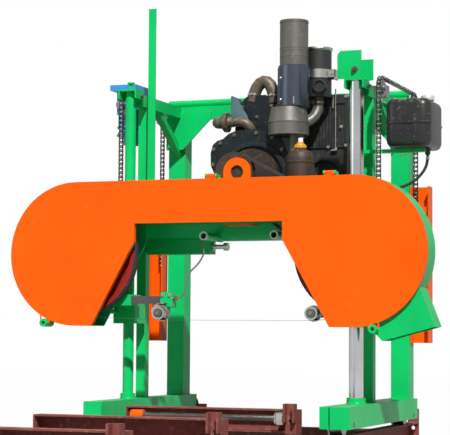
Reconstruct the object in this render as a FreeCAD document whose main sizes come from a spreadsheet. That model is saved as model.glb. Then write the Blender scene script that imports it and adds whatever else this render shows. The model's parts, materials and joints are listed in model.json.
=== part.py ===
import FreeCAD, Part
import math
import os
import Sketcher

# Portable band sawmill. A saw head with two band wheels rides up and down on two columns,
# and the portal that carries the columns rolls along a track of two rails.
# X runs along the saw band, Y along the log and away from the front cover, Z up.
# The origin is on the floor, midway between the band wheels and half way along the track.
# Depths count from the cover's front plane. Heights on the head count from the wheel centre.

V = FreeCAD.Vector
doc = FreeCAD.newDocument("BandSawmill")

# Driving dimensions in millimetres
SIZES = {
    # Clearances and stock that several pieces share
    "overrun": 2, "gap": 0.3, "fit_gap": 0.05, "slack": 6, "sheet": 3,
    # Track
    "track_long": 3000, "rail_left": -438, "rail_right": 580, "rail_high": 100, "rail_wide": 50,
    "rail_wall": 6, "foot_high": 70, "foot_dia": 24, "foot_pad": 90, "foot_plate": 10, "foot_inset": 150,
    "bunk_left": -342, "bunk_right": 392, "bunk_high": 90, "bunk_deep": 60, "bunk_wall": 6,
    "bunk_rise": 92, "bunk_inset": 305, "bunk_pitch": 815, "tie_high": 60, "tie_deep": 50,
    "stop_wide": 46, "stop_plate": 8, "stop_rise": 24, "stop_deep": 40, "stop_drop": 96, "stop_hole": 9,
    "clamp_dia": 24, "clamp_drop": 34, "clamp_from": -305, "clamp_nut": 21, "clamp_nut_long": 26, "clamp_jaw": 55,
    "bumper_thick": 10, "bumper_rise": 60, "joint_hole": 9, "joint_pitch": 50,
    # Rolling portal
    "trolley_gap": 26, "trolley_left_wide": 80, "trolley_wide": 120, "trolley_high": 85, "trolley_wall": 5, "trolley_front": -160,
    "trolley_tail": 35, "ear_wide": 36, "ear_slit": 5, "ear_long": 40, "roller_rad": 42, "roller_wide": 40,
    "roller_flange": 9, "flange_thick": 7, "roller_inset": 62, "axle_dia": 20,
    "datum_rise": 364, "front_to_end": 1020, "holder_reach": 150,
    "column_left": -460, "column_right": 549, "column_deep": 235, "column_left_dia": 46,
    "column_right_dia": 60, "column_top": 1030, "socket_wall": 9, "socket_high": 22, "inner_left": -450,
    "inner_right": 567, "inner_deep": 362, "inner_wide": 42, "post_left": -458, "post_right": 592,
    "post_deep": 790, "post_side": 80, "post_wall": 5, "beam_low": 971, "beam_high": 56, "beam_deep": 52,
    "beam_wall": 4, "pipe_dia": 33, "side_beam_high": 50, "side_beam_wide": 44, "side_beam_low": 975,
    "brace_thick": 30, "brace_drop": 175, "brace_reach": 270, "cap_wide": 84, "cap_high": 38, "cap_plate": 7,
    "cap_bolt_dia": 14, "cap_bolt_rise": 42, "cap_bolt_head": 30, "guard_wide": 101, "guard_high": 115,
    "guard_thick": 6, "guard_ear": 28, "gusset_side": 140, "gusset_thick": 8,
    # Lift drive
    "chain_left": -550, "chain_right": 652, "strand_front_left": 335, "strand_front_right": 200,
    "strand_rear": 795, "chain_pitch": 19.05, "plate_high": 17, "plate_thick": 1.9, "plate_gap": 11.7,
    "roll_dia": 12.07, "chain_wide": 23, "teeth": 14, "tooth_thick": 11, "sprocket_z": 1000,
    "hub_dia": 50, "hub_wide": 34, "hub_short": 18, "shaft_dia": 25, "front_tail": 150, "rear_tail": 295, "weight_eye": 560,
    "gear_left": 64, "gear_right": 58, "gear_deep": 95, "gear_low": 1023, "gear_high": 61, "gear_cheek": 20,
    "motor_dia": 120, "motor_low": 902, "bell_dia": 152, "bell_low": 869, "motor_end": 831,
    "motor_end_dia": 90, "weight_wide": 84, "weight_deep": 60, "weight_wall": 6, "weight_low": -37,
    "weight_high": 690, "weight_lug": 30, "weight_shift": 24, "bearing_wide": 22,
    # Saw head: cover, housing and band wheels
    "head_rise": 326, "wheel_gap": 1206, "cover_rad": 300, "cover_wall": 2.5, "cover_deep": 20,
    "arm_low": 122, "open_left": -334, "open_right": 310, "open_step": 48, "foot_left": -525,
    "foot_right": 507, "housing_back": 130, "housing_wall": 4, "hinge_rise": 11, "hinge_in": 12,
    "hinge_rad": 9, "hinge_pin": 4, "hinge_long": 40, "ear_thick": 6, "ear_back": 24, "hinge_left": 2,
    "hinge_right": 505, "lock_rad": 17, "lock_bore": 8, "lock_out": 318, "lock_long": 70,
    "chute_left": 718, "chute_low": -353, "chute_right": 928, "chute_edge": -296, "chute_out": 866,
    "chute_top": -140, "band_rad": 260, "band_thick": 1.1, "band_front": 38, "band_wide": 32, "tooth_deep": 6,
    "guide_drop": 14, "rim_rad": 251, "rim_inner": 234, "rim_front": 42, "rim_wide": 38, "web_thick": 10,
    "hub_rad": 45, "hub_front": 40, "hub_long": 60, "spindle_rad": 20, "spindle_front": 30, "nut_rad": 30,
    "nut_thick": 14, "spoke_hole": 48, "spoke_ring": 140,
    # Saw head: frame, slides and guides
    "beam_rad": 79.5, "beam_wall_thick": 8, "beam_y": 300, "beam_rise": 139.5, "sleeve_half": 50,
    "sleeve_front": 188, "sleeve_back": 300, "sleeve_low": 70, "sleeve_top": 250, "lower_low": -288,
    "lower_top": -190, "strap_thick": 10, "strap_front": 195, "strap_back": 262, "plate_front": 178,
    "plate_right": 665, "plate_low": -215, "lug_low": 200, "lug_high": 30, "lug_side": 18,
    "slide_left": -650, "slide_right": -175, "slide_front": 270, "slide_back": 318, "slide_low": 14,
    "slide_high": 46, "box_left": -390, "box_right": -100, "box_wall": 8, "screw_rad": 10, "screw_right": -48,
    "screw_head": 17, "screw_head_long": 18, "tension_travel": 20, "bar_side": 32, "bar_front": 91.5,
    "bar_mid": -191, "bar_left": -710, "bar_right": -251, "holder_left": -468, "holder_right": -384,
    "holder_wall": 7, "block_wide": 54, "block_high": 62, "block_front": 62, "block_deep": 62,
    "guide_left": -237, "guide_right": 422, "guide_rise": -246, "guide_rad": 27.4, "guide_flange": 33, "guide_flange_thick": 6,
    "guide_bolt": 8, "guide_body": 38, "window_left": 480, "window_wide": 60, "window_low": -208,
    "window_high": 62, "stub_rad": 16.5, "stub_wall": 4, "stub_left": -64, "stub_right": 243,
    "stub_rise": 72, "stub_front": 96, "eye_x": 67, "eye_rise": 336, "eye_rad": 60, "eye_hole": 28,
    "eye_front": 130, "eye_thick": 11, "eye_foot": 118, "mast_x": -384, "mast_side": 34, "mast_wall": 5,
    "mast_top": 1071, "bed_left": -60, "bed_right": 262, "bed_wide": 46, "bed_low": 100, "bed_high": 50,
    "bed_back": 738, "shelf_low": 414, "shelf_thick": 14, "shelf_front": 292, "shelf_back": 328,
    "upright_left": 503, "upright_wide": 36,
    # Drive
    "pulley_front": 142, "pulley_wide": 32, "pulley_flange": 3, "driven_rad": 120, "engine_rad": 80,
    "belt_deep": 8, "belt_proud": 3, "crank_x": 50, "crank_rise": 338, "crank_rad": 25, "disc_rad": 117,
    "disc_front": 345, "disc_thick": 34,
    # Engine
    "bell_rad": 168, "bell_front": 392, "bell_deep": 58, "block_left": -75, "engine_wide": 260,
    "engine_back": 716, "engine_low": 150, "engine_top": 560, "sump_in": 24, "cover_left": -62,
    "cover_wide": 200, "cover_top": 699, "cover_front": 452, "cover_back": 700, "elbow_x": 76,
    "elbow_ring": 42, "elbow_rad": 17, "radiator_left": 215, "radiator_wide": 200, "radiator_front": 552,
    "radiator_back": 710, "radiator_top": 700, "fan_rad": 84, "canister_x": 286, "canister_rad": 59, "case_top": 444,
    "canister_top": 452, "canister_cap": 22, "canister_y": 300, "exhaust_rise": 440, "exhaust_back": 480,
    "muffler_x": 228, "muffler_y": 385, "muffler_rad": 60.5, "drum_rad": 87, "drum_low": 509,
    "drum_step": 566, "drum_top": 627, "muffler_top": 999, "shield_low": 632, "shield_top": 804,
    "shield_proud": 5, "pipe_leg": 20, "cleaner_x": 304, "cleaner_y": 488, "cleaner_rad": 56,
    "cleaner_low": 681, "cleaner_top": 894, "clamp_low": 760, "clamp_high": 38, "clamp_proud": 3,
    "port_rad": 25, "port_rise": 722, "intake_rad": 20, "flange_pipe_rise": 576, "flange_pipe_y": 412,
    "flange_pipe_left": -119, "flange_pipe_rad": 15, "tank_left": 674, "drum_shift": 24, "tank_wide": 186, "tank_front": 205,
    "tank_deep": 240, "tank_low": 428, "tank_high": 196, "tank_round": 40, "seam_proud": 3, "cap_rad": 27,
    "cap_rise": 22, "cap_x": 822, "cap_y": 330, "outlet_rad": 11, "outlet_long": 24,
    # Hoses
    "lube_dia": 7, "fuel_dia": 12,
}


class Size:
    """A length that keeps its formula, so that a bound property follows the sheet."""

    def __init__(self, number, text):
        self.number = number
        self.text = text

    def join(self, sign, other, number, turned=False):
        word = other.text if isinstance(other, Size) else repr(other)
        pair = (word, self.text) if turned else (self.text, word)
        return Size(number, f"({pair[0]} {sign} {pair[1]})")

    def __add__(self, other):
        return self.join("+", other, self.number + plain(other))

    def __radd__(self, other):
        return self.join("+", other, plain(other) + self.number, True)

    def __sub__(self, other):
        return self.join("-", other, self.number - plain(other))

    def __rsub__(self, other):
        return self.join("-", other, plain(other) - self.number, True)

    def __mul__(self, other):
        return self.join("*", other, self.number * plain(other))

    __rmul__ = __mul__

    def __truediv__(self, other):
        return self.join("/", other, self.number / plain(other))

    def __neg__(self):
        return Size(-self.number, f"(-1 * {self.text})")

    def __float__(self):
        return float(self.number)


def plain(value):
    return value.number if isinstance(value, Size) else value


class Sheet:
    """The spreadsheet of driving dimensions, read as attributes."""

    def __init__(self, sizes):
        self.object = doc.addObject("Spreadsheet::Sheet", "dim")
        for row, (name, value) in enumerate(sizes.items(), 1):
            self.object.set(f"A{row}", name)
            self.object.set(f"B{row}", str(value))
            self.object.setAlias(f"B{row}", name)
            setattr(self, name, Size(float(value), f"dim.{name}"))


S = Sheet(SIZES)
doc.recompute()

nodes = {}
serial = [0]


def fresh(node):
    serial[0] += 1
    return f"{node}_{serial[0]}"


def bind(thing, prop, value):
    if isinstance(value, Size):
        thing.setExpression(prop, value.text)
    else:
        target = thing
        *path, last = prop.split(".")
        if not path:
            setattr(target, last, value)
        elif value:
            thing.setExpression(prop, repr(value))


def place(thing, corner, turn=None):
    if turn is not None:
        thing.Placement = FreeCAD.Placement(V(), turn)
    for axis, value in zip("xyz", corner):
        bind(thing, f"Placement.Base.{axis}", value)
    return thing


def box(node, corner, size):
    """A block from its low corner and its size along X, Y and Z."""
    block = doc.addObject("Part::Box", fresh(node))
    for prop, value in zip(("Length", "Width", "Height"), size):
        bind(block, prop, value)
    return place(block, corner)


TURNS = {
    "x": FreeCAD.Rotation(V(0, 1, 0), 90),
    "y": FreeCAD.Rotation(V(1, 0, 0), -90),
    "z": FreeCAD.Rotation(),
}


def rod(node, start, radius, length, axis="z"):
    """A cylinder that runs from its start along an axis."""
    cylinder = doc.addObject("Part::Cylinder", fresh(node))
    bind(cylinder, "Radius", radius)
    bind(cylinder, "Height", length)
    return place(cylinder, start, TURNS[axis])


def cone(node, start, radius, end_radius, length, axis="z"):
    thing = doc.addObject("Part::Cone", fresh(node))
    bind(thing, "Radius1", radius)
    bind(thing, "Radius2", end_radius)
    bind(thing, "Height", length)
    return place(thing, start, TURNS[axis])


def torus(node, centre, ring, tube, axis="z"):
    thing = doc.addObject("Part::Torus", fresh(node))
    bind(thing, "Radius1", ring)
    bind(thing, "Radius2", tube)
    return place(thing, centre, TURNS[axis])


def fuse(node, *shapes):
    if len(shapes) == 1:
        return shapes[0]
    whole = doc.addObject("Part::MultiFuse", fresh(node))
    whole.Shapes = list(shapes)
    whole.Refine = True
    return whole


def cut(node, base, *tools):
    rest = doc.addObject("Part::Cut", fresh(node))
    rest.Base = base
    rest.Tool = fuse(node, *tools)
    rest.Refine = True
    return rest


def tube(node, start, radius, wall, length, axis="z"):
    """A round tube that is open at both ends."""
    lead = {"x": (S.overrun, 0, 0), "y": (0, S.overrun, 0), "z": (0, 0, S.overrun)}[axis]
    inner = tuple(a - b for a, b in zip(start, lead))
    return cut(node, rod(node, start, radius, length, axis),
               rod(node, inner, radius - wall, length + 2 * S.overrun, axis))


def group(node, *shapes):
    """Separate solids in one node."""
    whole = doc.addObject("Part::Compound", fresh(node))
    whole.Links = list(shapes)
    return whole


def keep(node, thing):
    """Names a finished sub-part, which then has a file of its own."""
    thing.Label = node
    nodes[node] = thing
    return thing


def merge(name, *parts):
    """Puts pieces that belong together in one node as separate solids."""
    keep(name, group(name, *[nodes.pop(part) for part in parts]))


def feature(node, shape):
    """A sub-part whose shape is worked out below."""
    thing = doc.addObject("Part::Feature", fresh(node))
    thing.Shape = shape
    return thing


class Body:
    """A body that is built up from padded and turned sketches."""

    LEVEL_SIGN = {"XY_Plane": 1, "XZ_Plane": -1, "YZ_Plane": 1}

    def __init__(self, node):
        self.node = node
        self.body = doc.addObject("PartDesign::Body", fresh(node))

    def sketch(self, plane, level, outline):
        sketch = self.body.newObject("Sketcher::SketchObject", fresh("sketch"))
        support = [o for o in self.body.Origin.OriginFeatures if o.Role == plane][0]
        sketch.AttachmentSupport = [(support, "")]
        sketch.MapMode = "FlatFace"
        if isinstance(level, Size):
            sketch.setExpression("AttachmentOffset.Base.z", (self.LEVEL_SIGN[plane] * level).text)
        for loop in outline if isinstance(outline[0], list) else [outline]:
            if len(loop) == 1:
                self.ring(sketch, *loop[0])
            else:
                self.lines(sketch, loop)
        return sketch

    @staticmethod
    def pin(sketch, kind, index, point, value):
        rule = sketch.addConstraint(Sketcher.Constraint(kind, -1, 1, index, point, float(plain(value))))
        if isinstance(value, Size):
            sketch.setExpression(f"Constraints[{rule}]", value.text)

    def ring(self, sketch, x, y, radius):
        circle = Part.Circle(V(plain(x), plain(y), 0), V(0, 0, 1), plain(radius))
        index = sketch.addGeometry(circle, False)
        self.pin(sketch, "DistanceX", index, 3, x)
        self.pin(sketch, "DistanceY", index, 3, y)
        rule = sketch.addConstraint(Sketcher.Constraint("Radius", index, float(plain(radius))))
        if isinstance(radius, Size):
            sketch.setExpression(f"Constraints[{rule}]", radius.text)

    def lines(self, sketch, points):
        spots = [V(plain(x), plain(y), 0) for x, y in points]
        first = len(sketch.Geometry)
        for a, b in zip(spots, spots[1:] + spots[:1]):
            sketch.addGeometry(Part.LineSegment(a, b), False)
        count = len(points)
        for i in range(count):
            after = first + (i + 1) % count
            sketch.addConstraint(Sketcher.Constraint("Coincident", first + i, 2, after, 1))
        for i, (x, y) in enumerate(points):
            self.pin(sketch, "DistanceX", first + i, 1, x)
            self.pin(sketch, "DistanceY", first + i, 1, y)

    def extrude(self, kind, plane, level, depth, outline):
        step = self.body.newObject(kind, fresh("step"))
        step.Profile = self.sketch(plane, level, outline)
        bind(step, "Length", depth)
        return step

    def pad(self, plane, level, depth, outline):
        """Adds an outline from a level towards larger X, Y or Z."""
        step = self.extrude("PartDesign::Pad", plane, level, depth, outline)
        step.Reversed = plane == "XZ_Plane"
        return self

    def pocket(self, plane, level, depth, outline):
        """Cuts an outline from a level towards larger X, Y or Z."""
        step = self.extrude("PartDesign::Pocket", plane, level, depth, outline)
        step.Reversed = plane != "XZ_Plane"
        return self


class Turned:
    """A round piece turned about an axis that is parallel to X, Y or Z."""

    def __init__(self, node, centre, axis, outline):
        body = doc.addObject("PartDesign::Body", fresh(node))
        sketch = body.newObject("Sketcher::SketchObject", fresh("sketch"))
        support = [o for o in body.Origin.OriginFeatures if o.Role == "XZ_Plane"][0]
        sketch.AttachmentSupport = [(support, "")]
        sketch.MapMode = "FlatFace"
        Body.lines(Body, sketch, outline)
        step = body.newObject("PartDesign::Revolution", fresh("step"))
        step.Profile = sketch
        step.ReferenceAxis = (sketch, ["V_Axis"])
        step.Angle = 360
        place(body, centre, TURNS[axis])
        self.body = body


def turned(node, centre, axis, outline):
    """Turns an outline of (radius, height) pairs and lays its height along the axis."""
    return Turned(node, centre, axis, outline).body


# Levels and planes that the pieces share
RAIL_TOP = S.foot_high + S.rail_high
TROLLEY_LOW = RAIL_TOP + S.trolley_gap
TROLLEY_TOP = TROLLEY_LOW + S.trolley_high
LEVEL = TROLLEY_LOW + S.datum_rise
FRONT = S.track_long / 2 - S.front_to_end
RAILS = (S.rail_left, S.rail_right)
WHEEL_Z = LEVEL + S.head_rise


def build_track():
    """Two channel rails on screw feet, with bunks and log stops between them."""
    start = -1 * S.track_long / 2
    rails = []
    for middle in RAILS:
        side = middle - S.rail_wide / 2
        hollow = box("rails", (side + S.rail_wall, start - S.overrun, S.foot_high + S.rail_wall),
                     (S.rail_wide, S.track_long + 2 * S.overrun, S.rail_high - 2 * S.rail_wall))
        rails.append(cut("rails", box("rails", (side, start, S.foot_high),
                                      (S.rail_wide, S.track_long, S.rail_high)), hollow))
    keep("rails", group("rails", *rails))
    feet = []
    for middle in RAILS:
        for count in range(4):
            y = start + S.foot_inset + count * (S.track_long - 2 * S.foot_inset) / 3
            screw = rod("feet", (middle, y, S.foot_plate), S.foot_dia / 2, S.foot_high - S.foot_plate)
            nut = rod("feet", (middle, y, S.foot_high - S.foot_dia / 2), S.foot_dia * 0.8, S.foot_dia / 2)
            pad = cone("feet", (middle, y, 0), S.foot_pad / 2, S.foot_pad / 2 - S.foot_plate, S.foot_plate)
            feet.append(fuse("feet", screw, nut, pad))
    keep("screw_feet", group("feet", *feet))
    inner = S.rail_left + S.rail_wide / 2
    span = S.rail_right - S.rail_wide / 2 - inner
    ties, bunks, stops = [], [], []
    bunk_top = RAIL_TOP + S.bunk_rise
    bunk_low = bunk_top - S.bunk_high
    for count in range(3):
        y = start + S.bunk_inset + count * S.bunk_pitch
        ties.append(box("ties", (inner, y, S.foot_high + S.rail_wall), (span, S.tie_deep, S.tie_high)))
        tie_top = S.foot_high + S.rail_wall + S.tie_high
        web = box("bunks", (S.bunk_left, y + S.bunk_deep - S.bunk_wall, bunk_low),
                  (S.bunk_right - S.bunk_left, S.bunk_wall, S.bunk_high))
        top = box("bunks", (S.bunk_left, y, bunk_top - S.bunk_wall),
                  (S.bunk_right - S.bunk_left, S.bunk_deep, S.bunk_wall))
        ledge = box("bunks", (S.bunk_left, y, bunk_low),
                    (S.bunk_right - S.bunk_left, S.bunk_deep, S.bunk_wall))
        rib = Body("bunks")
        for x in (S.bunk_left, S.bunk_right - S.bunk_wall):
            rib.pad("YZ_Plane", x, S.bunk_wall,
                    [(y, tie_top), (y + S.tie_deep, tie_top), (y + S.bunk_deep, bunk_top), (y, bunk_top)])
        bunks.append(fuse("bunks", web, top, ledge, rib.body))
        stop_x = S.bunk_right - S.stop_wide
        stop_y = y - S.stop_deep - S.gap
        hole_z = bunk_top - S.bunk_high / 2
        back = box("stops", (stop_x, stop_y + S.stop_deep - S.stop_plate, bunk_top - S.stop_drop),
                   (S.stop_wide, S.stop_plate, S.stop_drop + S.stop_rise))
        ears = [box("stops", (x, stop_y, bunk_top - S.stop_drop / 2),
                    (S.stop_plate, S.stop_deep, S.stop_drop / 2 + S.stop_rise))
                for x in (stop_x, stop_x + S.stop_wide - S.stop_plate)]
        hole = rod("stops", (stop_x + S.stop_wide / 2, stop_y - S.overrun, hole_z), S.stop_hole,
                   S.stop_deep + 2 * S.overrun, "y")
        stops.append(cut("stops", fuse("stops", back, *ears), hole))
    end = S.track_long / 2
    for y in (start, end - S.tie_deep):
        ties.append(box("ties", (inner, y, S.foot_high + S.rail_wall), (span, S.tie_deep, S.tie_high)))
    keep("cross_ties", group("ties", *ties))
    keep("log_bunks", group("bunks", *bunks))
    keep("log_stops", group("stops", *stops))
    shafts = []
    y = start + S.bunk_inset + 2 * S.bunk_pitch - S.clamp_dia
    z = bunk_top - S.clamp_drop
    reach = S.bunk_right - S.stop_wide - S.clamp_from - S.gap
    shaft = rod("clamp", (S.clamp_from, y, z), S.clamp_dia / 2, reach, "x")
    nut_x = S.clamp_from + reach - S.clamp_nut_long
    nut = rod("clamp", (nut_x, y, z), S.clamp_nut, S.clamp_nut_long, "x")
    foot = rod("clamp", (S.clamp_from, y, z), S.clamp_nut, S.clamp_jaw, "x")
    shafts.append(fuse("clamp", shaft, nut, foot))
    keep("clamp_screw", fuse("clamp", *shafts))
    plates = []
    for middle in RAILS:
        for y in (start - S.bumper_thick, end):
            left = middle - S.rail_wide / 2
            plate = box("bumpers", (left, y, S.foot_high),
                        (S.rail_wide, S.bumper_thick, S.rail_high + S.bumper_rise))
            holes = [rod("bumpers", (middle, y - S.overrun, S.foot_high + S.rail_high / 2 + side * S.joint_pitch / 2),
                         S.joint_hole, S.bumper_thick + 2 * S.overrun, "y") for side in (-1, 1)]
            plates.append(cut("bumpers", plate, *holes))
    keep("end_stops", group("bumpers", *plates))


def build_trolleys():
    """The two wheeled beams that the portal stands on, their axles and their four rollers."""
    beams, axles = [], []
    front = FRONT + S.trolley_front
    rear = FRONT + S.post_deep + S.post_side / 2 + S.trolley_tail
    for middle, wide in zip(RAILS, (S.trolley_left_wide, S.trolley_wide)):
        left = middle - wide / 2
        body = Body("trolleys")
        body.pad("YZ_Plane", left, wide,
                 [(front, TROLLEY_LOW), (rear, TROLLEY_LOW), (rear, TROLLEY_TOP), (front, TROLLEY_TOP)])
        body.pocket("YZ_Plane", left + S.trolley_wall, wide - 2 * S.trolley_wall,
                    [(front + S.trolley_wall, TROLLEY_LOW - S.overrun),
                     (rear - S.trolley_wall, TROLLEY_LOW - S.overrun),
                     (rear - S.trolley_wall, TROLLEY_TOP - S.trolley_wall),
                     (front + S.trolley_wall, TROLLEY_TOP - S.trolley_wall)])
        holes = []
        for y in (front + S.roller_inset, rear - S.roller_inset):
            z = RAIL_TOP + S.roller_rad
            holes.append(rod("trolleys", (left - S.overrun, y, z), S.axle_dia / 2, wide + 2 * S.overrun, "x"))
            axles.append(rod("axles", (left, y, z), S.axle_dia / 2, wide, "x"))
        if middle is RAILS[1]:
            holes.append(box("trolleys", (left + S.ear_wide, front - S.overrun, TROLLEY_LOW - S.overrun),
                             (S.ear_slit, S.ear_long, S.trolley_high + 2 * S.overrun)))
        beams.append(cut("trolleys", body.body, *holes))
    keep("trolley_beams", group("trolleys", *beams))
    keep("roller_axles", group("axles", *axles))
    for side, middle in zip(("left", "right"), RAILS):
        for end, y in (("front", front + S.roller_inset), ("rear", rear - S.roller_inset)):
            node = f"track_roller_{side}_{end}"
            bore = S.axle_dia / 2 + S.fit_gap
            half = S.roller_wide / 2
            inward = S.rail_wide / 2 + S.gap
            tread = S.roller_rad
            rim = tread + S.roller_flange
            outline = [(bore, -1 * half), (tread, -1 * half), (tread, inward), (rim, inward),
                       (rim, inward + S.flange_thick), (bore, inward + S.flange_thick)]
            sign = 1 if side == "left" else -1
            if sign < 0:
                outline = [(r, -1 * h) for r, h in outline]
            keep(node, turned(node, (middle, y, RAIL_TOP + S.roller_rad), "x", outline))


def build_portal():
    """Columns, posts, beams, braces and the caps that tie them together."""
    foot = TROLLEY_TOP
    top = LEVEL + S.column_top
    deep = FRONT + S.column_deep
    for side, x, dia in (("left", S.column_left, S.column_left_dia),
                         ("right", S.column_right, S.column_right_dia)):
        node = f"column_{side}"
        keep(node, rod(node, (x, deep, foot), dia / 2, top - foot))
    sockets = [tube("sockets", (x, deep, foot), dia / 2 + S.socket_wall, S.socket_wall - S.fit_gap, S.socket_high)
               for x, dia in ((S.column_left, S.column_left_dia), (S.column_right, S.column_right_dia))]
    keep("column_sockets", group("sockets", *sockets))
    inner = []
    beam_under = LEVEL + S.side_beam_low
    for x in (S.inner_left, S.inner_right):
        inner.append(box("inner", (x - S.inner_wide / 2, FRONT + S.inner_deep - S.inner_wide / 2, foot),
                         (S.inner_wide, S.inner_wide, beam_under - foot)))
    keep("inner_posts", group("inner", *inner))
    posts = []
    for x in (S.post_left, S.post_right):
        left = x - S.post_side / 2
        near = FRONT + S.post_deep - S.post_side / 2
        high = LEVEL + S.beam_low - foot
        shell = box("posts", (left, near, foot), (S.post_side, S.post_side, high))
        hollow = box("posts", (left + S.post_wall, near + S.post_wall, foot - S.overrun),
                     (S.post_side - 2 * S.post_wall, S.post_side - 2 * S.post_wall, high + 2 * S.overrun))
        posts.append(cut("posts", shell, hollow))
    keep("rear_posts", group("posts", *posts))
    left = S.post_left - S.post_side / 2
    span = S.post_right + S.post_side / 2 - left
    near = shaft_deep() - S.beam_deep / 2
    low = LEVEL + S.beam_low
    beam = Body("crossbeam")
    beam.pad("YZ_Plane", left, span,
             [[(near, low), (near + S.beam_deep, low), (near + S.beam_deep, low + S.beam_high),
               (near, low + S.beam_high)],
              [(near + S.beam_wall, low + S.beam_wall),
               (near + S.beam_wall, low + S.beam_high - S.beam_wall),
               (near + S.beam_deep - S.beam_wall, low + S.beam_high - S.beam_wall),
               (near + S.beam_deep - S.beam_wall, low + S.beam_wall)]])
    keep("crossbeam", beam.body)
    keep("top_pipe", rod("pipe", (left, shaft_deep(), low + S.beam_high + S.pipe_dia / 2), S.pipe_dia / 2,
                         span, "x"))
    beams, braces = [], []
    for x, column, post in ((S.inner_left, S.column_left, S.post_left),
                            (S.inner_right, S.column_right, S.post_right)):
        start = deep + S.cap_wide / 2
        beams.append(box("side", (x - S.side_beam_wide / 2, start, beam_under),
                         (S.side_beam_wide, near - start, S.side_beam_high)))
        foot_y = FRONT + S.post_deep - S.post_side / 2
        low_z = beam_under - S.brace_drop
        brace = Body("braces")
        brace.pad("YZ_Plane", x - S.brace_thick / 2, S.brace_thick,
                  [(foot_y, low_z), (foot_y, low_z + S.brace_thick * 1.4),
                   (foot_y - S.brace_reach + S.brace_thick * 1.4, beam_under),
                   (foot_y - S.brace_reach, beam_under)])
        braces.append(brace.body)
    keep("side_beams", group("side", *beams))
    keep("knee_braces", group("braces", *braces))
    gussets = []
    for x, way in ((S.post_left + S.post_side / 2, 1), (S.post_right - S.post_side / 2, -1)):
        plate = Body("gussets")
        plate.pad("XZ_Plane", near - S.gusset_thick, S.gusset_thick,
                  [(x - way * S.post_side, low + S.beam_high / 2), (x + way * S.gusset_side, low + S.beam_high / 2),
                   (x + way * S.gusset_side, low), (x, low - S.gusset_side),
                   (x - way * S.post_side, low - S.gusset_side)])
        gussets.append(plate.body)
    keep("gusset_plates", group("gussets", *gussets))
    caps, bolts = [], []
    for x, dia in ((S.column_left, S.column_left_dia), (S.column_right, S.column_right_dia)):
        left = x - S.cap_wide / 2
        near = deep - S.cap_wide / 2
        plate = box("caps", (left, near, top), (S.cap_wide, S.cap_wide, S.cap_plate))
        legs = [box("caps", (px, near, top + S.cap_plate - S.cap_high),
                    (S.cap_plate, S.cap_wide, S.cap_high))
                for px in (left, left + S.cap_wide - S.cap_plate)]
        legs.append(box("caps", (left, deep + S.cap_wide / 2 - S.cap_plate, top + S.cap_plate - S.cap_high),
                        (S.cap_wide, S.cap_plate, S.cap_high)))
        hole = rod("caps", (x, deep, top - S.overrun), S.cap_bolt_dia / 2, S.cap_plate + 2 * S.overrun)
        caps.append(cut("caps", fuse("caps", plate, *legs), hole))
        stem = rod("bolts", (x, deep, top), S.cap_bolt_dia / 2, S.cap_bolt_rise)
        nut = rod("bolts", (x, deep, top + S.cap_plate), S.cap_bolt_dia * 0.85, S.cap_bolt_dia * 0.7)
        head = rod("bolts", (x, deep, top + S.cap_bolt_rise - S.cap_plate), S.cap_bolt_head / 2, S.cap_plate)
        bolts.append(fuse("bolts", stem, nut, head))
    keep("column_caps", group("caps", *caps))
    keep("cap_bolts", group("bolts", *bolts))
    left = S.column_right - S.cap_wide / 2 - S.guard_ear
    guard = Body("guard")
    low = top + S.cap_plate
    corner = S.guard_ear / 2
    guard.pad("XZ_Plane", deep - S.cap_wide / 2, S.guard_thick,
              [(left, low), (left + S.guard_wide, low), (left + S.guard_wide, low + S.guard_high),
               (left + corner, low + S.guard_high), (left, low + S.guard_high - corner)])
    guard.pad("XZ_Plane", deep + S.cap_wide / 2 - S.guard_thick, S.guard_thick,
              [(left + S.guard_wide - S.guard_ear, low), (left + S.guard_wide + S.guard_ear, low),
               (left + S.guard_wide + S.guard_ear, low + S.guard_high - S.guard_ear),
               (left + S.guard_wide - S.guard_ear, low + S.guard_high - S.guard_ear)])
    tie = box("guard", (left + S.guard_wide - S.guard_ear / 2, deep - S.cap_wide / 2, low),
              (S.guard_ear / 2, S.cap_wide, S.guard_thick))
    keep("top_guard_plates", fuse("guard", guard.body, tie))


def shaft_deep():
    """The lift shaft lies inside the crossbeam, one sprocket radius in front of the rear strands."""
    return FRONT + S.strand_rear - sprocket_radius()


def sprocket_radius():
    """The pitch radius that the teeth and the chain pitch give."""
    return S.chain_pitch / (2 * math.sin(math.pi / SIZES["teeth"]))


def sprocket_shape(x, y, z, phase, hub_wide):
    """A toothed disc with its hub, turned so that a gap between teeth meets the chain's roller."""
    teeth = SIZES["teeth"]
    pitch_radius = float(sprocket_radius())
    root = pitch_radius - float(S.roll_dia) / 2 - float(S.gap)
    tip = pitch_radius + float(S.roll_dia) / 4
    step = 2 * math.pi / teeth
    gap_share, tip_share = 0.30, 0.10
    points = []
    for count in range(teeth):
        middle = phase + count * step
        for share, radius in ((-gap_share, root), (gap_share, root),
                              (0.5 - tip_share, tip), (0.5 + tip_share, tip)):
            angle = middle + share * step
            points.append(V(0, radius * math.cos(angle), radius * math.sin(angle)))
    outline = Part.makePolygon(points + points[:1])
    half = float(S.tooth_thick) / 2
    disc = Part.Face(outline).extrude(V(2 * half, 0, 0))
    disc.translate(V(-half, 0, 0))
    hub = Part.makeCylinder(float(S.hub_dia) / 2, float(hub_wide), V(-half, 0, 0), V(1, 0, 0))
    whole = disc.fuse(hub).removeSplitter()
    whole.translate(V(x, y, z))
    return whole


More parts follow.
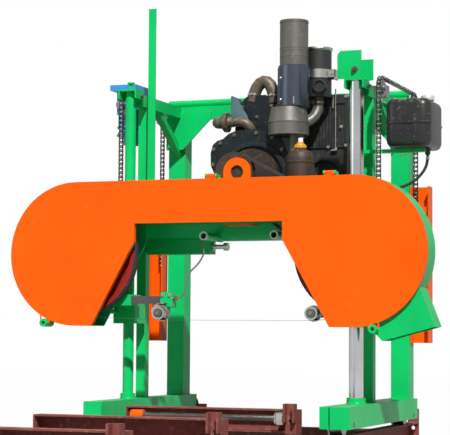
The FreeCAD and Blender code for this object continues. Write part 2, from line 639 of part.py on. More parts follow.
def chain_path(front, rear, level):
    """Returns a function from the length along the chain to its place and direction."""
    radius = float(sprocket_radius())
    quarter = radius * math.pi / 2
    run = rear - front - 2 * radius

    def at(length):
        if length < 0:
            return front, level + length, math.pi / 2
        if length < quarter:
            turn = length / radius
            return (front + radius - radius * math.cos(turn), level + radius * math.sin(turn),
                    math.pi / 2 - turn)
        if length < quarter + run:
            return front + radius + length - quarter, level + radius, 0.0
        if length < 2 * quarter + run:
            turn = (length - quarter - run) / radius
            return rear - radius + radius * math.sin(turn), level + radius * math.cos(turn), -turn
        return rear, level - (length - 2 * quarter - run), -math.pi / 2

    return at, 2 * quarter + run


def chain_shape(x, front, rear, level, front_tail, rear_tail):
    """A roller chain as alternating outer and inner links that lie end to end."""
    at, middle = chain_path(front, rear, level)
    pitch = float(S.chain_pitch)
    first = -math.floor((level - front_tail) / pitch)
    last = math.floor((middle + level - rear_tail) / pitch)
    outer_share = 0.84
    high = float(S.plate_high)
    inner_wide = float(S.plate_gap + 2 * S.plate_thick)
    links = []
    for count in range(first, last):
        outer = count % 2 == 0
        share = outer_share if outer else 2 - outer_share
        long = pitch * share - float(S.gap) / 2
        wide = float(S.chain_wide) if outer else inner_wide
        y, z, turn = at((count + 0.5) * pitch)
        link = Part.makeBox(wide, long, high, V(-wide / 2, -long / 2, -high / 2))
        link.rotate(V(), V(1, 0, 0), math.degrees(turn))
        link.translate(V(x, y, z))
        links.append(link)
    half = float(S.tooth_thick / 2 + S.gap)
    radius = float(sprocket_radius())
    room = radius + float(S.roll_dia) / 4 + float(S.gap)
    discs = [Part.makeCylinder(room, 2 * half, V(x - half, y, level), V(1, 0, 0))
             for y in (front + radius, rear - radius)]
    return Part.makeCompound([link.cut(discs) if link.BoundBox.ZMax > level - room else link
                              for link in links])


def build_lift():
    """Chains, sprockets, the lift shaft, the gear motor and the counterweights."""
    level = float(LEVEL + S.sprocket_z)
    radius = float(sprocket_radius())
    rear = float(FRONT + S.strand_rear)
    hub_side = float(S.tooth_thick) / 2
    rears = []
    for side, plane, strand in (("left", S.chain_left, S.strand_front_left),
                                ("right", S.chain_right, S.strand_front_right)):
        front = float(FRONT + strand)
        x = float(plane)
        tail = float(WHEEL_Z - S.front_tail)
        keep(f"chain_{side}", feature("chain", chain_shape(
            x, front, rear, level, tail, float(LEVEL + S.rear_tail))))
        step = 2 * math.pi / SIZES["teeth"]
        sprocket = sprocket_shape(x, front + radius, level, math.pi + step / 2,
                                  S.hub_wide if side == "left" else S.hub_short)
        if side == "left":
            sprocket = sprocket.mirror(V(x, 0, 0), V(1, 0, 0))
        at, middle = chain_path(front, rear, level)
        turns = middle / float(S.chain_pitch)
        offset = (turns - math.floor(turns)) * step
        rear_disc = sprocket_shape(x, rear - radius, level, offset + step / 2, S.hub_wide)
        bore = Part.makeCylinder(float(S.shaft_dia / 2 + S.fit_gap), float(S.cap_wide * 2),
                                 V(x - float(S.cap_wide), front + radius, level), V(1, 0, 0))
        keep(f"sprocket_{side}", feature("sprocket", sprocket.cut(bore)))
        rears.append(rear_disc)
    left, right = S.chain_left - S.hub_wide, S.chain_right + S.hub_wide
    shaft = Part.makeCylinder(float(S.shaft_dia) / 2, float(right - left), V(float(left), rear - radius, level),
                              V(1, 0, 0))
    keep("lift_shaft", feature("shaft", shaft.multiFuse(rears).removeSplitter()))
    bearings = []
    low = LEVEL + S.beam_low
    for x, inset in ((S.post_left - S.post_side / 2 - S.bearing_wide, 0 * S.gap),
                     (S.post_right - S.post_side / 2 - S.bearing_wide, S.beam_wall + S.gap)):
        block = box("bearings", (x, shaft_deep() - S.beam_deep / 2 + inset, low + inset),
                    (S.bearing_wide, S.beam_deep - 2 * inset, S.beam_high - 2 * inset))
        bore = rod("bearings", (x - S.overrun, shaft_deep(), LEVEL + S.sprocket_z), S.shaft_dia / 2 + S.fit_gap,
                   S.bearing_wide + 2 * S.overrun, "x")
        bearings.append(cut("bearings", block, bore))
    keep("shaft_bearings", group("bearings", *bearings))
    build_motor()
    build_right_bracket()
    weights = []
    for side, plane, way in (("left", S.chain_left, -1), ("right", S.chain_right, 1)):
        z = LEVEL + S.weight_low
        middle = FRONT + S.strand_rear
        left = plane - S.weight_wide / 2 + way * S.weight_shift
        near = middle - S.weight_deep / 2
        body = Body("weights")
        body.pad("XY_Plane", z, S.weight_high - 2 * S.slack,
                 [(left, near), (left + S.weight_wall, near),
                  (left + S.weight_wall, near + S.weight_deep - S.weight_wall),
                  (left + S.weight_wide - S.weight_wall, near + S.weight_deep - S.weight_wall),
                  (left + S.weight_wide - S.weight_wall, near), (left + S.weight_wide, near),
                  (left + S.weight_wide, near + S.weight_deep), (left, near + S.weight_deep)])
        slot = S.chain_wide / 2 + S.gap
        half = S.plate_high / 2 + S.gap
        lug = box("weights", (left + S.weight_wall, middle - S.weight_lug / 2, z + S.weight_eye),
                  (S.weight_wide - 2 * S.weight_wall, S.weight_deep / 2 + S.weight_lug / 2 - S.weight_wall,
                   S.weight_lug))
        room = box("weights", (plane - slot, middle - half, z), (2 * slot, 2 * half, S.weight_high))
        keep(f"counterweight_{side}", fuse("weights", body.body, cut("weights", lug, room)))


def build_motor():
    """The gear motor that hangs behind the left front strand and turns its sprocket."""
    y = FRONT + S.strand_front_left + sprocket_radius()
    z = LEVEL + S.gear_low
    centre = LEVEL + S.sprocket_z
    left = S.chain_left - S.gear_left
    back = y + sprocket_radius() + S.slack
    wide = S.gear_left + S.gear_right
    case = box("motor", (left, back, z - S.gear_high), (wide, S.gear_deep, 2 * S.gear_high))
    inner_face = S.chain_left + S.hub_wide
    cheek = box("motor", (inner_face, y - S.hub_dia / 2, centre - S.hub_dia / 2),
                (S.gear_cheek, S.gear_deep, S.hub_dia))
    hood = box("motor", (left, y - S.hub_dia / 2, centre + sprocket_radius() + S.plate_high),
               (wide, S.gear_deep, z + S.gear_high - centre - sprocket_radius() - S.plate_high))
    axis_y = back + S.gear_deep / 2
    axis_x = S.chain_left - S.gear_left / 2 + S.gear_right / 2
    barrel = rod("motor", (axis_x, axis_y, LEVEL + S.motor_low), S.motor_dia / 2,
                 z - LEVEL - S.motor_low)
    bell = cone("motor", (axis_x, axis_y, LEVEL + S.bell_low), S.bell_dia / 2, S.motor_dia / 2,
                S.motor_low - S.bell_low)
    shaft = rod("motor", (S.chain_left - S.hub_wide, y, centre), S.shaft_dia / 2,
                2 * S.hub_wide + S.gear_cheek, "x")
    arm = box("motor", (inner_face, back, centre - S.hub_dia / 2),
              (S.inner_left - S.inner_wide / 2 - inner_face - 4 * S.gap, S.gear_cheek, S.hub_dia))
    side = S.chain_wide / 2 + S.slack / 2
    tunnel = box("motor", (S.chain_left - side, y, centre + sprocket_radius() - S.plate_high / 2 - S.slack / 2),
                 (2 * side, 2 * S.gear_deep, S.plate_high + S.slack))
    round_room = rod("motor", (S.chain_left - side, y, centre), sprocket_radius() + S.plate_high / 2 + S.slack / 2,
                     2 * side, "x")
    hollow = cut("motor", fuse("motor", case, cheek, hood, barrel, bell, arm), tunnel, round_room)
    keep("lift_motor", fuse("motor", hollow, shaft))
    keep("motor_fan_cover", rod("fan", (axis_x, axis_y, LEVEL + S.motor_end), S.motor_end_dia / 2,
                                S.bell_low - S.motor_end))


def build_right_bracket():
    """The plate and stub axle that carry the right front sprocket."""
    y = FRONT + S.strand_front_right + sprocket_radius()
    z = LEVEL + S.sprocket_z
    start = S.inner_right + S.inner_wide / 2 + 4 * S.gap
    face = S.chain_right - S.tooth_thick / 2 - S.gap
    plate = box("bracket", (face - S.gusset_thick, y - S.shaft_dia * 0.8, z - S.shaft_dia * 0.8),
                (S.gusset_thick, FRONT + S.inner_deep + S.inner_wide / 2 - y + S.shaft_dia * 0.8,
                 S.shaft_dia * 1.6))
    arm = box("bracket", (start, FRONT + S.inner_deep - S.inner_wide / 2, z - S.hub_dia / 2),
              (face - start, S.inner_wide, S.hub_dia))
    axle = rod("bracket", (face - S.gusset_thick, y, z), S.shaft_dia / 2,
               S.gusset_thick + S.hub_short + S.slack, "x")
    keep("sprocket_bracket", fuse("bracket", plate, arm, axle))


def deep(value):
    """The place along Y of a depth behind the cover's front plane."""
    return FRONT + value


def high(value):
    """The place along Z of a height above the wheel centres."""
    return WHEEL_Z + value


WHEEL_LEFT = -1 * S.wheel_gap / 2
WHEEL_RIGHT = S.wheel_gap / 2


def cover_outline(inset, reach):
    """The cover's straight-sided part; inset draws its outer edges in and reach moves the opening."""
    top = high(S.cover_rad - inset)
    low = high(inset - S.cover_rad)
    ceiling = high(S.arm_low + reach)
    step = high(S.open_step)
    return [(WHEEL_LEFT, top), (WHEEL_RIGHT, top), (WHEEL_RIGHT, low), (S.foot_right + 1.2 * reach, low),
            (S.open_right + 1.2 * reach, step), (S.open_right + reach, ceiling),
            (S.open_left - reach, ceiling), (S.open_left - 1.2 * reach, step),
            (S.foot_left - 1.2 * reach, low), (WHEEL_LEFT, low)]


def opening_outline(reach):
    """The room for the log between the cover's two slanted edges."""
    under = high(-1 * S.cover_rad - S.overrun)
    return [(S.foot_right + 1.2 * reach, under), (S.foot_right + 1.2 * reach, high(-1 * S.cover_rad)),
            (S.open_right + 1.2 * reach, high(S.open_step)), (S.open_right + reach, high(S.arm_low + reach)),
            (S.open_left - reach, high(S.arm_low + reach)), (S.open_left - 1.2 * reach, high(S.open_step)),
            (S.foot_left - 1.2 * reach, high(-1 * S.cover_rad)), (S.foot_left - 1.2 * reach, under)]


def pan_block(node, front, depth, inset, reach):
    """A block in the cover's outline, with round ends about the wheels."""
    block = Body(node)
    block.pad("XZ_Plane", front, depth, cover_outline(inset, reach))
    for x in (WHEEL_LEFT, WHEEL_RIGHT):
        block.pad("XZ_Plane", front, depth, [[(x, high(0), S.cover_rad - inset)]])
    block.pocket("XZ_Plane", front - S.overrun, depth + 2 * S.overrun, opening_outline(reach))
    return block.body


def pan(node, front, depth, skin, back, open_edges):
    """A shallow pan in the cover's outline, with its wide face at the front or at the back."""
    edge = -1 * S.overrun * 4 if open_edges else skin
    inside = front - S.overrun if back else front + skin
    room = depth + S.overrun - skin if back else depth
    return cut(node, pan_block(node, front, depth, 0 * skin, 0 * skin),
               pan_block(node, inside, room, skin, edge))


def build_covers():
    """The hinged front cover, the fixed wheel housing, the sawdust chute and the hinge ears."""
    cover = pan("cover", deep(0 * S.gap), S.cover_deep, S.cover_wall, False, False)
    axis_z = high(S.cover_rad + S.hinge_rise)
    axis_y = deep(S.hinge_in)
    knuckles, bores, ears = [], [], []
    for x in (S.hinge_left, S.hinge_right):
        start = x - S.hinge_long / 2
        knuckles.append(rod("cover", (start, axis_y, axis_z), S.hinge_rad, S.hinge_long, "x"))
        knuckles.append(box("cover", (start, axis_y - S.hinge_rad * 0.8, high(S.cover_rad) - S.cover_wall / 2),
                            (S.hinge_long, S.hinge_rad * 1.6, S.hinge_rise + S.cover_wall / 2)))
        bores.append(rod("cover", (start - S.overrun, axis_y, axis_z), S.hinge_pin + S.fit_gap,
                         S.hinge_long + 2 * S.overrun, "x"))
        pin = rod("ears", (start - S.ear_thick - S.gap, axis_y, axis_z), S.hinge_pin,
                  S.hinge_long + 2 * S.ear_thick + 2 * S.gap, "x")
        sides = []
        for side in (start - S.ear_thick - S.gap, start + S.hinge_long + S.gap):
            sides.append(rod("ears", (side, axis_y, axis_z), S.hinge_rad, S.ear_thick, "x"))
            sides.append(box("ears", (side, axis_y, high(S.cover_rad) + S.gap),
                             (S.ear_thick, S.ear_back + S.hinge_rad, S.hinge_rise + S.hinge_rad / 2)))
        foot = box("ears", (start - S.ear_thick - S.gap, deep(S.cover_deep) + S.hinge_rad, high(S.cover_rad) + S.gap),
                   (S.hinge_long + 2 * S.ear_thick + 2 * S.gap, S.ear_back, S.ear_thick))
        ears.append(fuse("ears", pin, foot, *sides))
    tabs = []
    for x, z in lock_places():
        tabs.append(box("cover", (x - S.lock_rad - S.slack, deep(0 * S.gap), high(z)),
                        (S.slack, S.cover_wall, S.lock_rad * 2)))
        tabs.append(box("cover", (x + S.lock_rad, deep(0 * S.gap), high(z)),
                        (S.slack, S.cover_wall, S.lock_rad * 2)))
    keep("front_cover", cut("cover", fuse("cover", cover, *knuckles, *tabs), *bores))
    keep("cover_hinges", group("ears", *ears))
    housing = pan("housing", deep(S.cover_deep + S.gap), S.housing_back - S.cover_deep - S.gap,
                  S.housing_wall, True, True)
    back = deep(S.housing_back - S.housing_wall - S.overrun)
    through = S.housing_wall + 2 * S.overrun
    tools = [rod("housing", (WHEEL_RIGHT, back, high(0 * S.gap)), S.hub_rad + S.slack, through, "y"),
             box("housing", (WHEEL_LEFT - S.spindle_rad - S.slack, back, high(-1 * S.spindle_rad - S.slack)),
                 (2 * S.spindle_rad + 2 * S.slack + S.tension_travel, through, 2 * S.spindle_rad + 2 * S.slack)),
             box("housing", (S.window_left, back, high(S.window_low)), (S.window_wide, through, S.window_high)),
             box("housing", (S.holder_left - S.slack, deep(S.band_front), high(S.bar_mid - S.bar_side)),
                 (S.holder_reach, S.housing_back, 2 * S.bar_side)),
             box("housing", (S.guide_right - S.guide_flange - S.slack / 2, deep(S.cover_deep + S.slack / 2),
                             high(S.guide_rise - S.guide_flange - S.slack / 2)),
                 (2 * S.guide_flange + S.slack * 4, S.housing_back, 2 * S.guide_flange + S.slack)),
             box("housing", (S.foot_left + S.slack, deep(S.cover_deep + S.slack / 2), high(S.guide_rise - S.guide_flange)),
                 (S.foot_right - S.foot_left - 2 * S.slack, S.band_wide + 4 * S.slack, S.slack * 4)),
             chute_body("cutter", True)]
    keep("wheel_housing", cut("housing", housing, *tools))
    lock_x, lock_z = lock_places()[1]
    room = rod("chute", (lock_x, deep(-1 * S.lock_long), high(lock_z)), S.lock_rad + S.gap, 3 * S.lock_long, "y")
    keep("sawdust_chute", cut("chute", chute_body("chute", False), room))
    locks = []
    for (x, z), wheel in zip(lock_places(), (WHEEL_LEFT, WHEEL_RIGHT)):
        locks.append(tube("locks", (x, deep(-1 * S.lock_rad), high(z)), S.lock_rad, S.lock_rad - S.lock_bore,
                          S.lock_long, "y"))
    keep("lock_tubes", group("locks", *locks))


def lock_places():
    """The lock tubes hang on the housing's rim, below and outside of each wheel."""
    lean_left, lean_right = math.radians(205.2), math.radians(164.5)
    return ((WHEEL_LEFT + S.lock_out * math.sin(lean_left), S.lock_out * math.cos(lean_left)),
            (WHEEL_RIGHT + S.lock_out * math.sin(lean_right), S.lock_out * math.cos(lean_right)))


def chute_body(node, cutter):
    """The slanted spout at the lower right of the housing, or the room that it opens there."""
    front = deep(S.cover_deep + S.gap)
    depth = S.housing_back - S.cover_deep - S.gap
    wall = S.sheet
    outer = [(S.chute_left - 2 * S.lock_rad, high(S.chute_low + 2 * S.lock_rad)), (S.chute_left, high(S.chute_low)),
             (S.chute_right, high(S.chute_edge)), (S.chute_out, high(S.chute_top)),
             (WHEEL_RIGHT + S.cover_rad / 2, high(S.chute_top))]
    inner = [(WHEEL_RIGHT + S.cover_rad / 3, high(S.chute_edge + 4 * S.lock_rad)),
             (S.chute_left + wall * 2, high(S.chute_low - S.lock_rad)),
             (S.chute_right - wall, high(S.chute_edge - S.lock_rad)),
             (S.chute_right - wall * 2, high(S.chute_edge)), (S.chute_out - wall * 2, high(S.chute_top - wall * 2)),
             (WHEEL_RIGHT + S.cover_rad / 2, high(S.chute_top - wall * 2))]
    if cutter:
        body = Body(node)
        body.pad("XZ_Plane", front - S.overrun, depth + S.overrun - S.housing_wall, inner)
        return body.body
    body = Body(node)
    body.pad("XZ_Plane", front, depth, outer)
    body.pocket("XZ_Plane", front + wall, depth - 2 * wall, inner)
    disc = rod(node, (WHEEL_RIGHT, front - S.overrun, high(0 * S.gap)), S.cover_rad + S.gap,
               depth + 2 * S.overrun, "y")
    return cut(node, body.body, disc)


def wheel_outline():
    """Half section of a band wheel: hub, web and grooved rim, as radius and height pairs."""
    hub_end = S.hub_long
    web_low = S.rim_front - S.hub_front + S.rim_wide / 2 - S.web_thick / 2
    rim_low = S.rim_front - S.hub_front
    bore = S.spindle_rad + S.fit_gap
    return [(bore, 0), (S.hub_rad, 0), (S.hub_rad, web_low), (S.rim_inner, web_low), (S.rim_inner, rim_low),
            (S.rim_rad, rim_low), (S.rim_rad, rim_low + S.rim_wide), (S.rim_inner, rim_low + S.rim_wide),
            (S.rim_inner, web_low + S.web_thick), (S.hub_rad, web_low + S.web_thick), (S.hub_rad, hub_end),
            (bore, hub_end)]


def build_band_wheels():
    """The two band wheels with their rubber tyres, and the driven pulley behind the right one."""
    for side, x in (("left", WHEEL_LEFT), ("right", WHEEL_RIGHT)):
        outline = wheel_outline()
        if side == "right":
            long = S.pulley_front - S.hub_front
            outline[-2:] = [(S.hub_rad, long), (S.spindle_rad + S.fit_gap, long)]
        keep(f"band_wheel_{side}", turned("wheel", (x, deep(S.hub_front), high(0 * S.gap)), "y", outline))
        rubber = turned("tyre", (x, deep(S.rim_front), high(0 * S.gap)), "y",
                        [(S.rim_rad, 0), (S.band_rad - S.gap, S.rim_wide / 5),
                         (S.band_rad - S.gap, S.rim_wide * 0.8), (S.rim_rad, S.rim_wide)])
        keep(f"wheel_tyre_{side}", rubber)
    keep("driven_pulley", pulley("pulley", WHEEL_RIGHT, high(0 * S.gap), S.driven_rad, S.spindle_rad + S.fit_gap))


def pulley(node, x, z, radius, bore):
    """A flanged belt pulley with its axis along Y."""
    rim, bed = radius + S.pulley_flange, radius - S.belt_deep
    wide, lip = S.pulley_wide, S.pulley_flange
    outline = [(bore, 0), (rim, 0), (rim, lip), (bed, lip), (bed, wide - lip), (rim, wide - lip), (rim, wide),
               (bore, wide)]
    return turned(node, (x, deep(S.pulley_front), z), "y", outline)


def tangent_loop(first, second, first_radius, second_radius):
    """A closed wire round two circles in the XZ plane."""
    (x1, z1), (x2, z2) = first, second
    reach = math.hypot(x2 - x1, z2 - z1)
    lean = math.asin((second_radius - first_radius) / reach)
    base = math.atan2(z2 - z1, x2 - x1)
    spots = []
    for (x, z), radius in ((first, first_radius), (second, second_radius)):
        for side in (1, -1):
            angle = base + side * (math.pi / 2 + lean)
            spots.append(V(x + radius * math.cos(angle), 0, z + radius * math.sin(angle)))
    far_first = V(x1 - first_radius * math.cos(base), 0, z1 - first_radius * math.sin(base))
    far_second = V(x2 + second_radius * math.cos(base), 0, z2 + second_radius * math.sin(base))
    return Part.Wire([Part.LineSegment(spots[0], spots[2]).toShape(),
                      Part.Arc(spots[2], far_second, spots[3]).toShape(),
                      Part.LineSegment(spots[3], spots[1]).toShape(),
                      Part.Arc(spots[1], far_first, spots[0]).toShape()])


def build_drive():
    """The crank's clutch disc and pulley, and the belt down to the right band wheel."""
    x, z = S.crank_x, high(S.crank_rise)
    wheel = pulley("crank", x, z, S.engine_rad, S.crank_rad / 2)
    shaft = rod("crank", (x, deep(S.pulley_front), z), S.crank_rad,
                S.bell_front - S.pulley_front - S.gap, "y")
    disc = rod("crank", (x, deep(S.disc_front), z), S.disc_rad, S.disc_thick, "y")
    keep("engine_pulley", fuse("crank", wheel, shaft, disc))
    bed = float(S.gap) - float(S.belt_deep)
    proud = float(S.belt_proud)
    first, second = (float(x), float(z)), (float(WHEEL_RIGHT), float(WHEEL_Z))
    small, large = float(S.engine_rad), float(S.driven_rad)
    outer = tangent_loop(first, second, small + proud, large + proud)
    inner = tangent_loop(first, second, small + bed, large + bed)
    start = float(deep(S.pulley_front + S.pulley_flange + S.gap))
    wide = V(0, float(S.pulley_wide - 2 * S.pulley_flange - 2 * S.gap), 0)
    belt = Part.Face(outer).extrude(wide).cut(Part.Face(inner).extrude(wide))
    belt.translate(V(0, start, 0))
    keep("drive_belt", feature("belt", belt))


def band_path():
    """Corner points of the saw band's inner side, evenly spaced by one tooth."""
    radius = float(S.band_rad)
    teeth_share = 22
    left, right = float(WHEEL_LEFT), float(WHEEL_RIGHT)
    low = float(S.guide_rise - S.guide_rad - S.gap)
    run = right - left
    guides = [(float(S.guide_left), low), (float(S.guide_right), low)]
    steps = round(math.pi * radius / teeth_share)
    flat = round(run / teeth_share)
    points = [(left + run * i / flat, radius) for i in range(flat)]
    points += [(right + radius * math.sin(math.pi * i / steps), radius * math.cos(math.pi * i / steps))
               for i in range(steps)]
    corners = [(right, -radius), guides[1], guides[0], (left, -radius)]
    for (x1, z1), (x2, z2) in zip(corners, corners[1:]):
        count = round(math.hypot(x2 - x1, z2 - z1) / teeth_share)
        points += [(x1 + (x2 - x1) * i / count, z1 + (z2 - z1) * i / count) for i in range(count)]
    points += [(left - radius * math.sin(math.pi * i / steps), -radius * math.cos(math.pi * i / steps))
               for i in range(steps)]
    return points


def band_shape():
    """The toothed band: one flat facet for each tooth, closed round both wheels."""
    points = band_path()
    count = len(points)
    thick = float(S.band_thick)
    front = float(deep(S.band_front))
    back = front + float(S.band_wide)
    tip = front - float(S.tooth_deep)
    lean_share = 0.3
    outer = []
    for i in range(count):
        (x0, z0), (x1, z1), (x2, z2) = points[i - 1], points[i], points[(i + 1) % count]
        dx, dz = x2 - x0, z2 - z0
        long = math.hypot(dx, dz)
        outer.append((x1 - thick * dz / long, z1 + thick * dx / long))
    middle_z = float(WHEEL_Z)

    def spot(point, y):
        return V(point[0], y, middle_z + point[1])

    faces = []
    for i in range(count):
        j = (i + 1) % count
        rims = []
        for ring in (points, outer):
            a, b = ring[i], ring[j]
            peak = (a[0] + (b[0] - a[0]) * lean_share, a[1] + (b[1] - a[1]) * lean_share)
            rims.append([spot(a, back), spot(b, back), spot(b, front), spot(peak, tip), spot(a, front)])
        for rim in rims:
            faces.append(Part.Face(Part.makePolygon(rim + rim[:1])))
        for k in (0, 2, 3):
            one, two, three, four = rims[0][k], rims[0][k + 1], rims[1][k + 1], rims[1][k]
            for corners in ((one, two, three), (one, three, four)):
                faces.append(Part.Face(Part.makePolygon([*corners, corners[0]])))
    shell = Part.Shell(faces)
    shell.sewShape()
    solid = Part.Solid(shell)
    if solid.Volume < 0:
        solid.reverse()
    return solid


def sleeve_place(side):
    left = side == "left"
    x = S.column_left if left else S.column_right
    return x, (S.column_left_dia if left else S.column_right_dia) / 2


def build_head_frame():
    """The welded frame of the head, the blocks that slide on the columns, and the eye to lift it by."""
    beam_z = high(S.beam_rise)
    beam_left = S.column_left + S.sleeve_half
    beam_right = S.column_right - S.sleeve_half
    beam_long = beam_right - beam_left
    pipe = rod("frame", (beam_left, deep(S.beam_y), beam_z), S.beam_rad, beam_long, "x")
    bore = rod("frame", (beam_left - S.overrun, deep(S.beam_y), beam_z), S.beam_rad - S.beam_wall_thick,
               beam_long + 2 * S.overrun, "x")
    solids = [cut("frame", pipe, bore)]
    plate_left = beam_right
    solids.append(box("frame", (plate_left, deep(S.plate_front), high(S.plate_low)),
                      (S.plate_right - plate_left, S.sleeve_front - S.plate_front, S.sleeve_top - S.plate_low)))
    for x in (S.bed_left, S.bed_right):
        rail = box("frame", (x, deep(S.beam_y), high(S.bed_low)),
                   (S.bed_wide, S.bed_back - S.beam_y, S.bed_high))
        inside = rod("frame", (x - S.overrun, deep(S.beam_y), beam_z), S.beam_rad - S.beam_wall_thick,
                     S.bed_wide + 2 * S.overrun, "x")
        solids.append(cut("frame", rail, inside))
    cross = box("frame", (S.bed_left, deep(S.bed_back - S.bed_wide), high(S.bed_low)),
                (S.bed_right + S.bed_wide - S.bed_left, S.bed_wide, S.bed_high))
    solids.append(cross)
    wall = S.box_wall
    shell = box("frame", (S.box_left, deep(S.slide_front - wall), high(S.slide_low - wall)),
                (S.box_right - S.box_left, S.slide_back - S.slide_front + 2 * wall, S.slide_high + 2 * wall))
    room = box("frame", (S.box_left - S.overrun, deep(S.slide_front - S.gap), high(S.slide_low - S.gap)),
               (S.box_right - S.box_left - wall + S.overrun, S.slide_back - S.slide_front + 2 * S.gap,
                S.slide_high + 2 * S.gap))
    hole = rod("frame", (S.box_right - wall - S.overrun, slide_middle()[0], slide_middle()[1]),
               S.screw_rad + S.fit_gap, wall + 2 * S.overrun, "x")
    spine = cut("frame", fuse("frame", *solids), rod("frame", (plate_left - S.overrun, deep(S.plate_front - S.overrun),
                high(S.plate_low - S.sleeve_half)), S.overrun, S.overrun))
    keep("head_frame", fuse("frame", spine, cut("frame", shell, room, hole)))
    blocks = []
    for side in ("left", "right"):
        x, radius = sleeve_place(side)
        left = x - S.sleeve_half
        way = -1 if side == "left" else 1
        upper = box("sleeves", (left, deep(S.sleeve_front), high(S.sleeve_low)),
                    (2 * S.sleeve_half, S.sleeve_back - S.sleeve_front, S.sleeve_top - S.sleeve_low))
        lower = box("sleeves", (left, deep(S.sleeve_front), high(S.lower_low)),
                    (2 * S.sleeve_half, S.sleeve_back - S.sleeve_front, S.lower_top - S.lower_low))
        edge = left if side == "left" else x + S.sleeve_half - S.strap_thick
        strap = box("sleeves", (edge, deep(S.strap_front), high(S.lower_low)),
                    (S.strap_thick, S.strap_back - S.strap_front, S.sleeve_top - S.lower_low))
        chain_x = S.chain_left if side == "left" else S.chain_right
        strand = S.strand_front_left if side == "left" else S.strand_front_right
        lug_front = deep(S.sleeve_back - S.overrun) if side == "left" else deep(strand - S.lug_side)
        lug_long = strand + S.lug_side - S.sleeve_back + S.overrun if side == "left" else 2 * S.lug_side
        lug_left = chain_x - S.lug_side if side == "left" else x + S.sleeve_half
        lug_wide = x - S.sleeve_half + S.lug_side - lug_left if side == "left" else chain_x + S.lug_side - lug_left
        if side == "right":
            lug_front = deep(S.sleeve_front + S.gap)
        lug = box("sleeves", (lug_left, lug_front, high(S.lug_low)), (lug_wide, lug_long, S.lug_high))
        slot = S.chain_wide / 2 + S.gap
        half = S.plate_high / 2 + S.gap
        room = box("sleeves", (chain_x - slot, deep(strand) - half, high(S.lug_low) - S.overrun),
                   (2 * slot, 2 * half, S.lug_high + 2 * S.overrun))
        column = rod("sleeves", (x, deep(S.column_deep), high(S.lower_low - S.overrun)), radius + S.fit_gap,
                     S.sleeve_top - S.lower_low + 2 * S.overrun)
        pads = [rod("sleeves", (x + way * shift, deep(S.housing_back), high(z)), S.spindle_rad / 2,
                    (S.sleeve_front if side == "left" else S.plate_front) - S.housing_back, "y")
                for shift, z in ((0 * S.gap, S.sleeve_top - S.slack * 4), (S.sleeve_half * 0.8, S.lower_low + S.sleeve_half))]
        blocks.append(cut("sleeves", fuse("sleeves", upper, lower, strap, lug, *pads), column, room))
    keep("column_sleeves", group("sleeves", *blocks))
    eye = rod("eye", (S.eye_x, deep(S.housing_back + S.gap), high(S.eye_rise)), S.eye_rad, S.eye_thick, "y")
    tab = box("eye", (S.eye_x - S.eye_rad, deep(S.housing_back + S.gap), high(S.eye_foot)),
              (2 * S.eye_rad, S.eye_thick, S.eye_rise - S.eye_foot))
    shelf = box("eye", (S.eye_x - S.eye_rad, deep(S.housing_back + S.gap), high(S.eye_foot)),
                (2 * S.eye_rad, S.beam_y - S.beam_rad - S.housing_back + S.overrun, S.eye_thick))
    ring = rod("eye", (S.eye_x, deep(S.housing_back - S.overrun), high(S.eye_rise)), S.eye_hole,
               S.eye_thick + 3 * S.overrun, "y")
    away = rod("eye", (S.eye_x - S.eye_rad - S.overrun, deep(S.beam_y), beam_z), S.beam_rad,
               2 * S.eye_rad + 2 * S.overrun, "x")
    keep("lifting_eye", cut("eye", fuse("eye", eye, tab, shelf), ring, away))
    angle = Body("mast")
    left, front = S.mast_x - S.mast_side / 2, deep(S.beam_y - S.mast_side / 2)
    angle.pad("XY_Plane", high(S.beam_rise + S.beam_rad - S.mast_wall), S.mast_top - S.beam_rise - S.beam_rad + S.mast_wall,
              [(left, front), (left + S.mast_side, front), (left + S.mast_side, front + S.mast_wall),
               (left + S.mast_wall, front + S.mast_wall), (left + S.mast_wall, front + S.mast_side),
               (left, front + S.mast_side)])
    base = rod("mast", (left - S.overrun, deep(S.beam_y), beam_z), S.beam_rad, S.mast_side + 2 * S.overrun, "x")
    keep("mast", cut("mast", angle.body, base))


def slide_middle():
    """The centre line of the tension slide, as its Y and Z."""
    return deep((S.slide_front + S.slide_back) / 2), high(S.slide_low + S.slide_high / 2)


